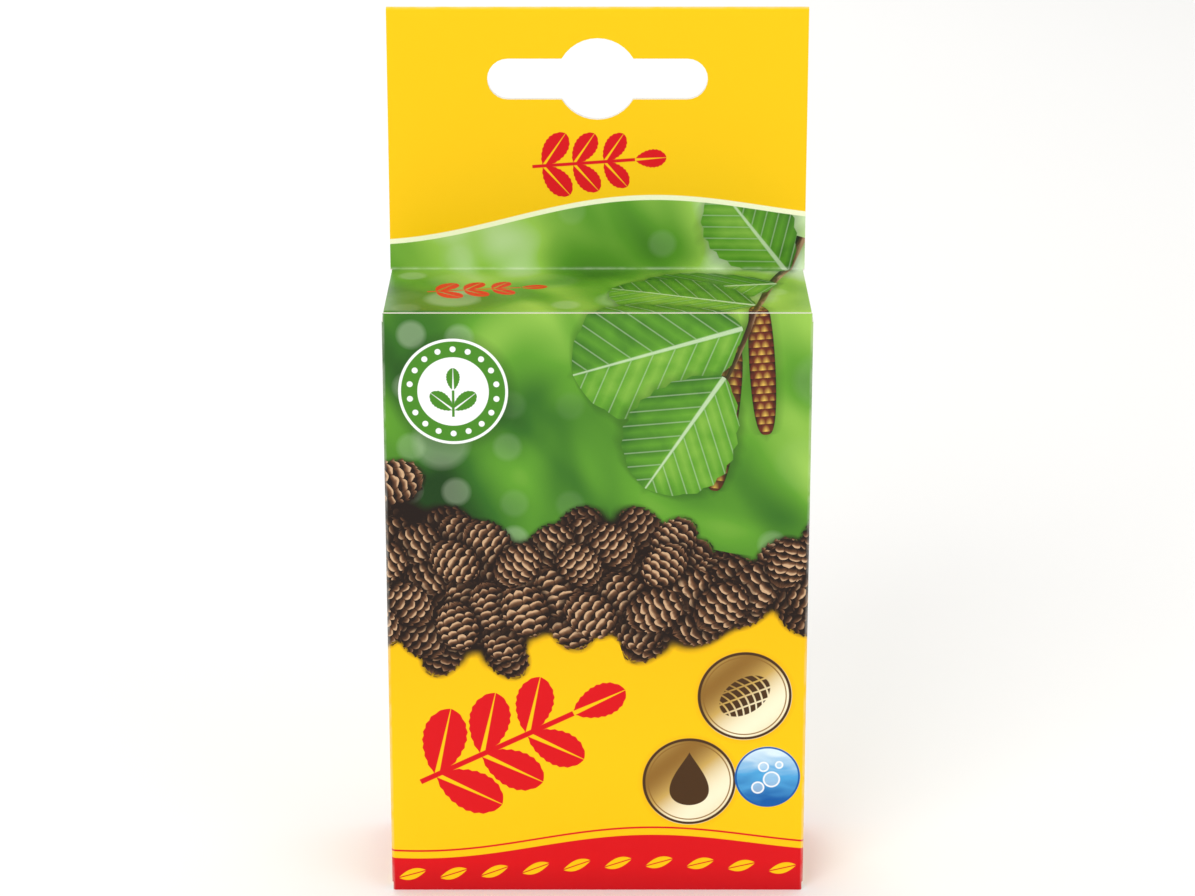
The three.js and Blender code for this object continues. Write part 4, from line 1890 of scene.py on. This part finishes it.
    def wood(self) -> bpy.types.Material:
        """Dry brown wood, paler towards the scale lips, with painted shade that goes almost black deep
        between the scales.
        """
        plate = Plate("cone_wood", mapped=False)
        lip = Num(plate, plate.node("ShaderNodeAttribute", attribute_name=LIP_ATTRIBUTE).outputs["Fac"])
        streaks = plate.noise(size=0.5 * MM, detail=3.0, swirl=0.6)
        blotch = plate.noise(size=4 * MM, offset=0.01)
        # Painted shade: the scale roots, deep between the scales, go almost black.
        tone = lip * 0.55 + streaks * 0.35 + blotch * 0.35 - 0.28
        plate.lay(plate.ramp(tone, ((0.05, Ink.CONE_GAP), (0.45, Ink.CONE_BODY), (0.95, Ink.CONE_TIP))))
        return plate.close(streaks * 0.2 + 0.6, bump=streaks, depth=6e-5, specular=0.3)


@dataclass(frozen=True)
class Lamp:
    """A soft rectangular studio lamp that faces the carton."""

    name: str
    place: Tuple[float, float, float]
    size: float
    power: float

    def switch_on(self, target: Vector) -> None:
        """Adds the lamp, turned to its target."""
        data = bpy.data.lights.new(self.name, "AREA")
        data.shape = "SQUARE"
        data.size = self.size
        data.energy = self.power
        lamp = add_object(self.name, data)
        lamp.location = self.place
        lamp.rotation_mode = "QUATERNION"
        lamp.rotation_quaternion = (target - Vector(self.place)).to_track_quat("-Z", "Y")


@dataclass(frozen=True)
class Studio:
    """The pale floor, the soft light and the camera."""

    elevation: float = math.radians(18)
    distance: float = 0.52
    lens: float = 107.0
    aim_lift: float = 1.0 * MM
    floor_half: float = 4.0
    daylight: float = 0.64
    lamps: Tuple[Lamp, ...] = (
        Lamp("key_lamp", (-0.45, -0.9, 0.75), 0.6, 4.4),
        Lamp("fill_lamp", (0.75, -0.7, 0.4), 0.6, 1.7),
        Lamp("top_lamp", (0.1, 0.15, 1.0), 0.5, 1.6),
        Lamp("back_lamp", (-0.3, 0.9, 0.6), 0.6, 2.4),
    )

    def build(self) -> None:
        """Sets up the studio round the carton."""
        low, high = CAD_BOX
        target = (low + high) / 2 + Vector((0.0, 0.0, self.aim_lift))
        scene = bpy.context.scene
        scene.view_settings.view_transform = "Standard"
        for lamp in self.lamps:
            lamp.switch_on(target)
        world = bpy.data.worlds.new("studio_world")
        world.use_nodes = True
        sky = world.node_tree.nodes["Background"]
        sky.inputs["Color"].default_value = (1.0, 1.0, 1.0, 1.0)
        sky.inputs["Strength"].default_value = self.daylight
        scene.world = world
        self.floor()
        data = bpy.data.cameras.new("camera")
        data.lens = self.lens
        camera = add_object("camera", data)
        back = Vector((0.0, -math.cos(self.elevation), math.sin(self.elevation)))
        camera.location = target + back * self.distance
        camera.rotation_mode = "QUATERNION"
        camera.rotation_quaternion = (-back).to_track_quat("-Z", "Y")
        scene.camera = camera

    def floor(self) -> None:
        """Lays a plain pale floor."""
        bm = bmesh.new()
        bmesh.ops.create_grid(bm, x_segments=1, y_segments=1, size=self.floor_half)
        mesh = close_mesh(bm, "floor")
        plate = Plate("pale_floor", mapped=False)
        plate.lay(Ink.WHITE)
        plate.lay(Ink.BOARD_EDGE, plate.noise(size=0.6) * 0.5)
        mesh.materials.append(plate.close(roughness=0.6, specular=0.2))
        add_object("floor", mesh)


def main() -> None:
    """Builds the carton, its contents and the studio."""
    logging.basicConfig(level=logging.INFO)
    Studio().build()
    for builder in (Carton(CartonSizes.from_frame()), AlderCones()):
        for piece in builder.build():
            LOG.info("%s: %d faces", piece.name, len(piece.data.polygons))


if __name__ == "__main__":
    main()
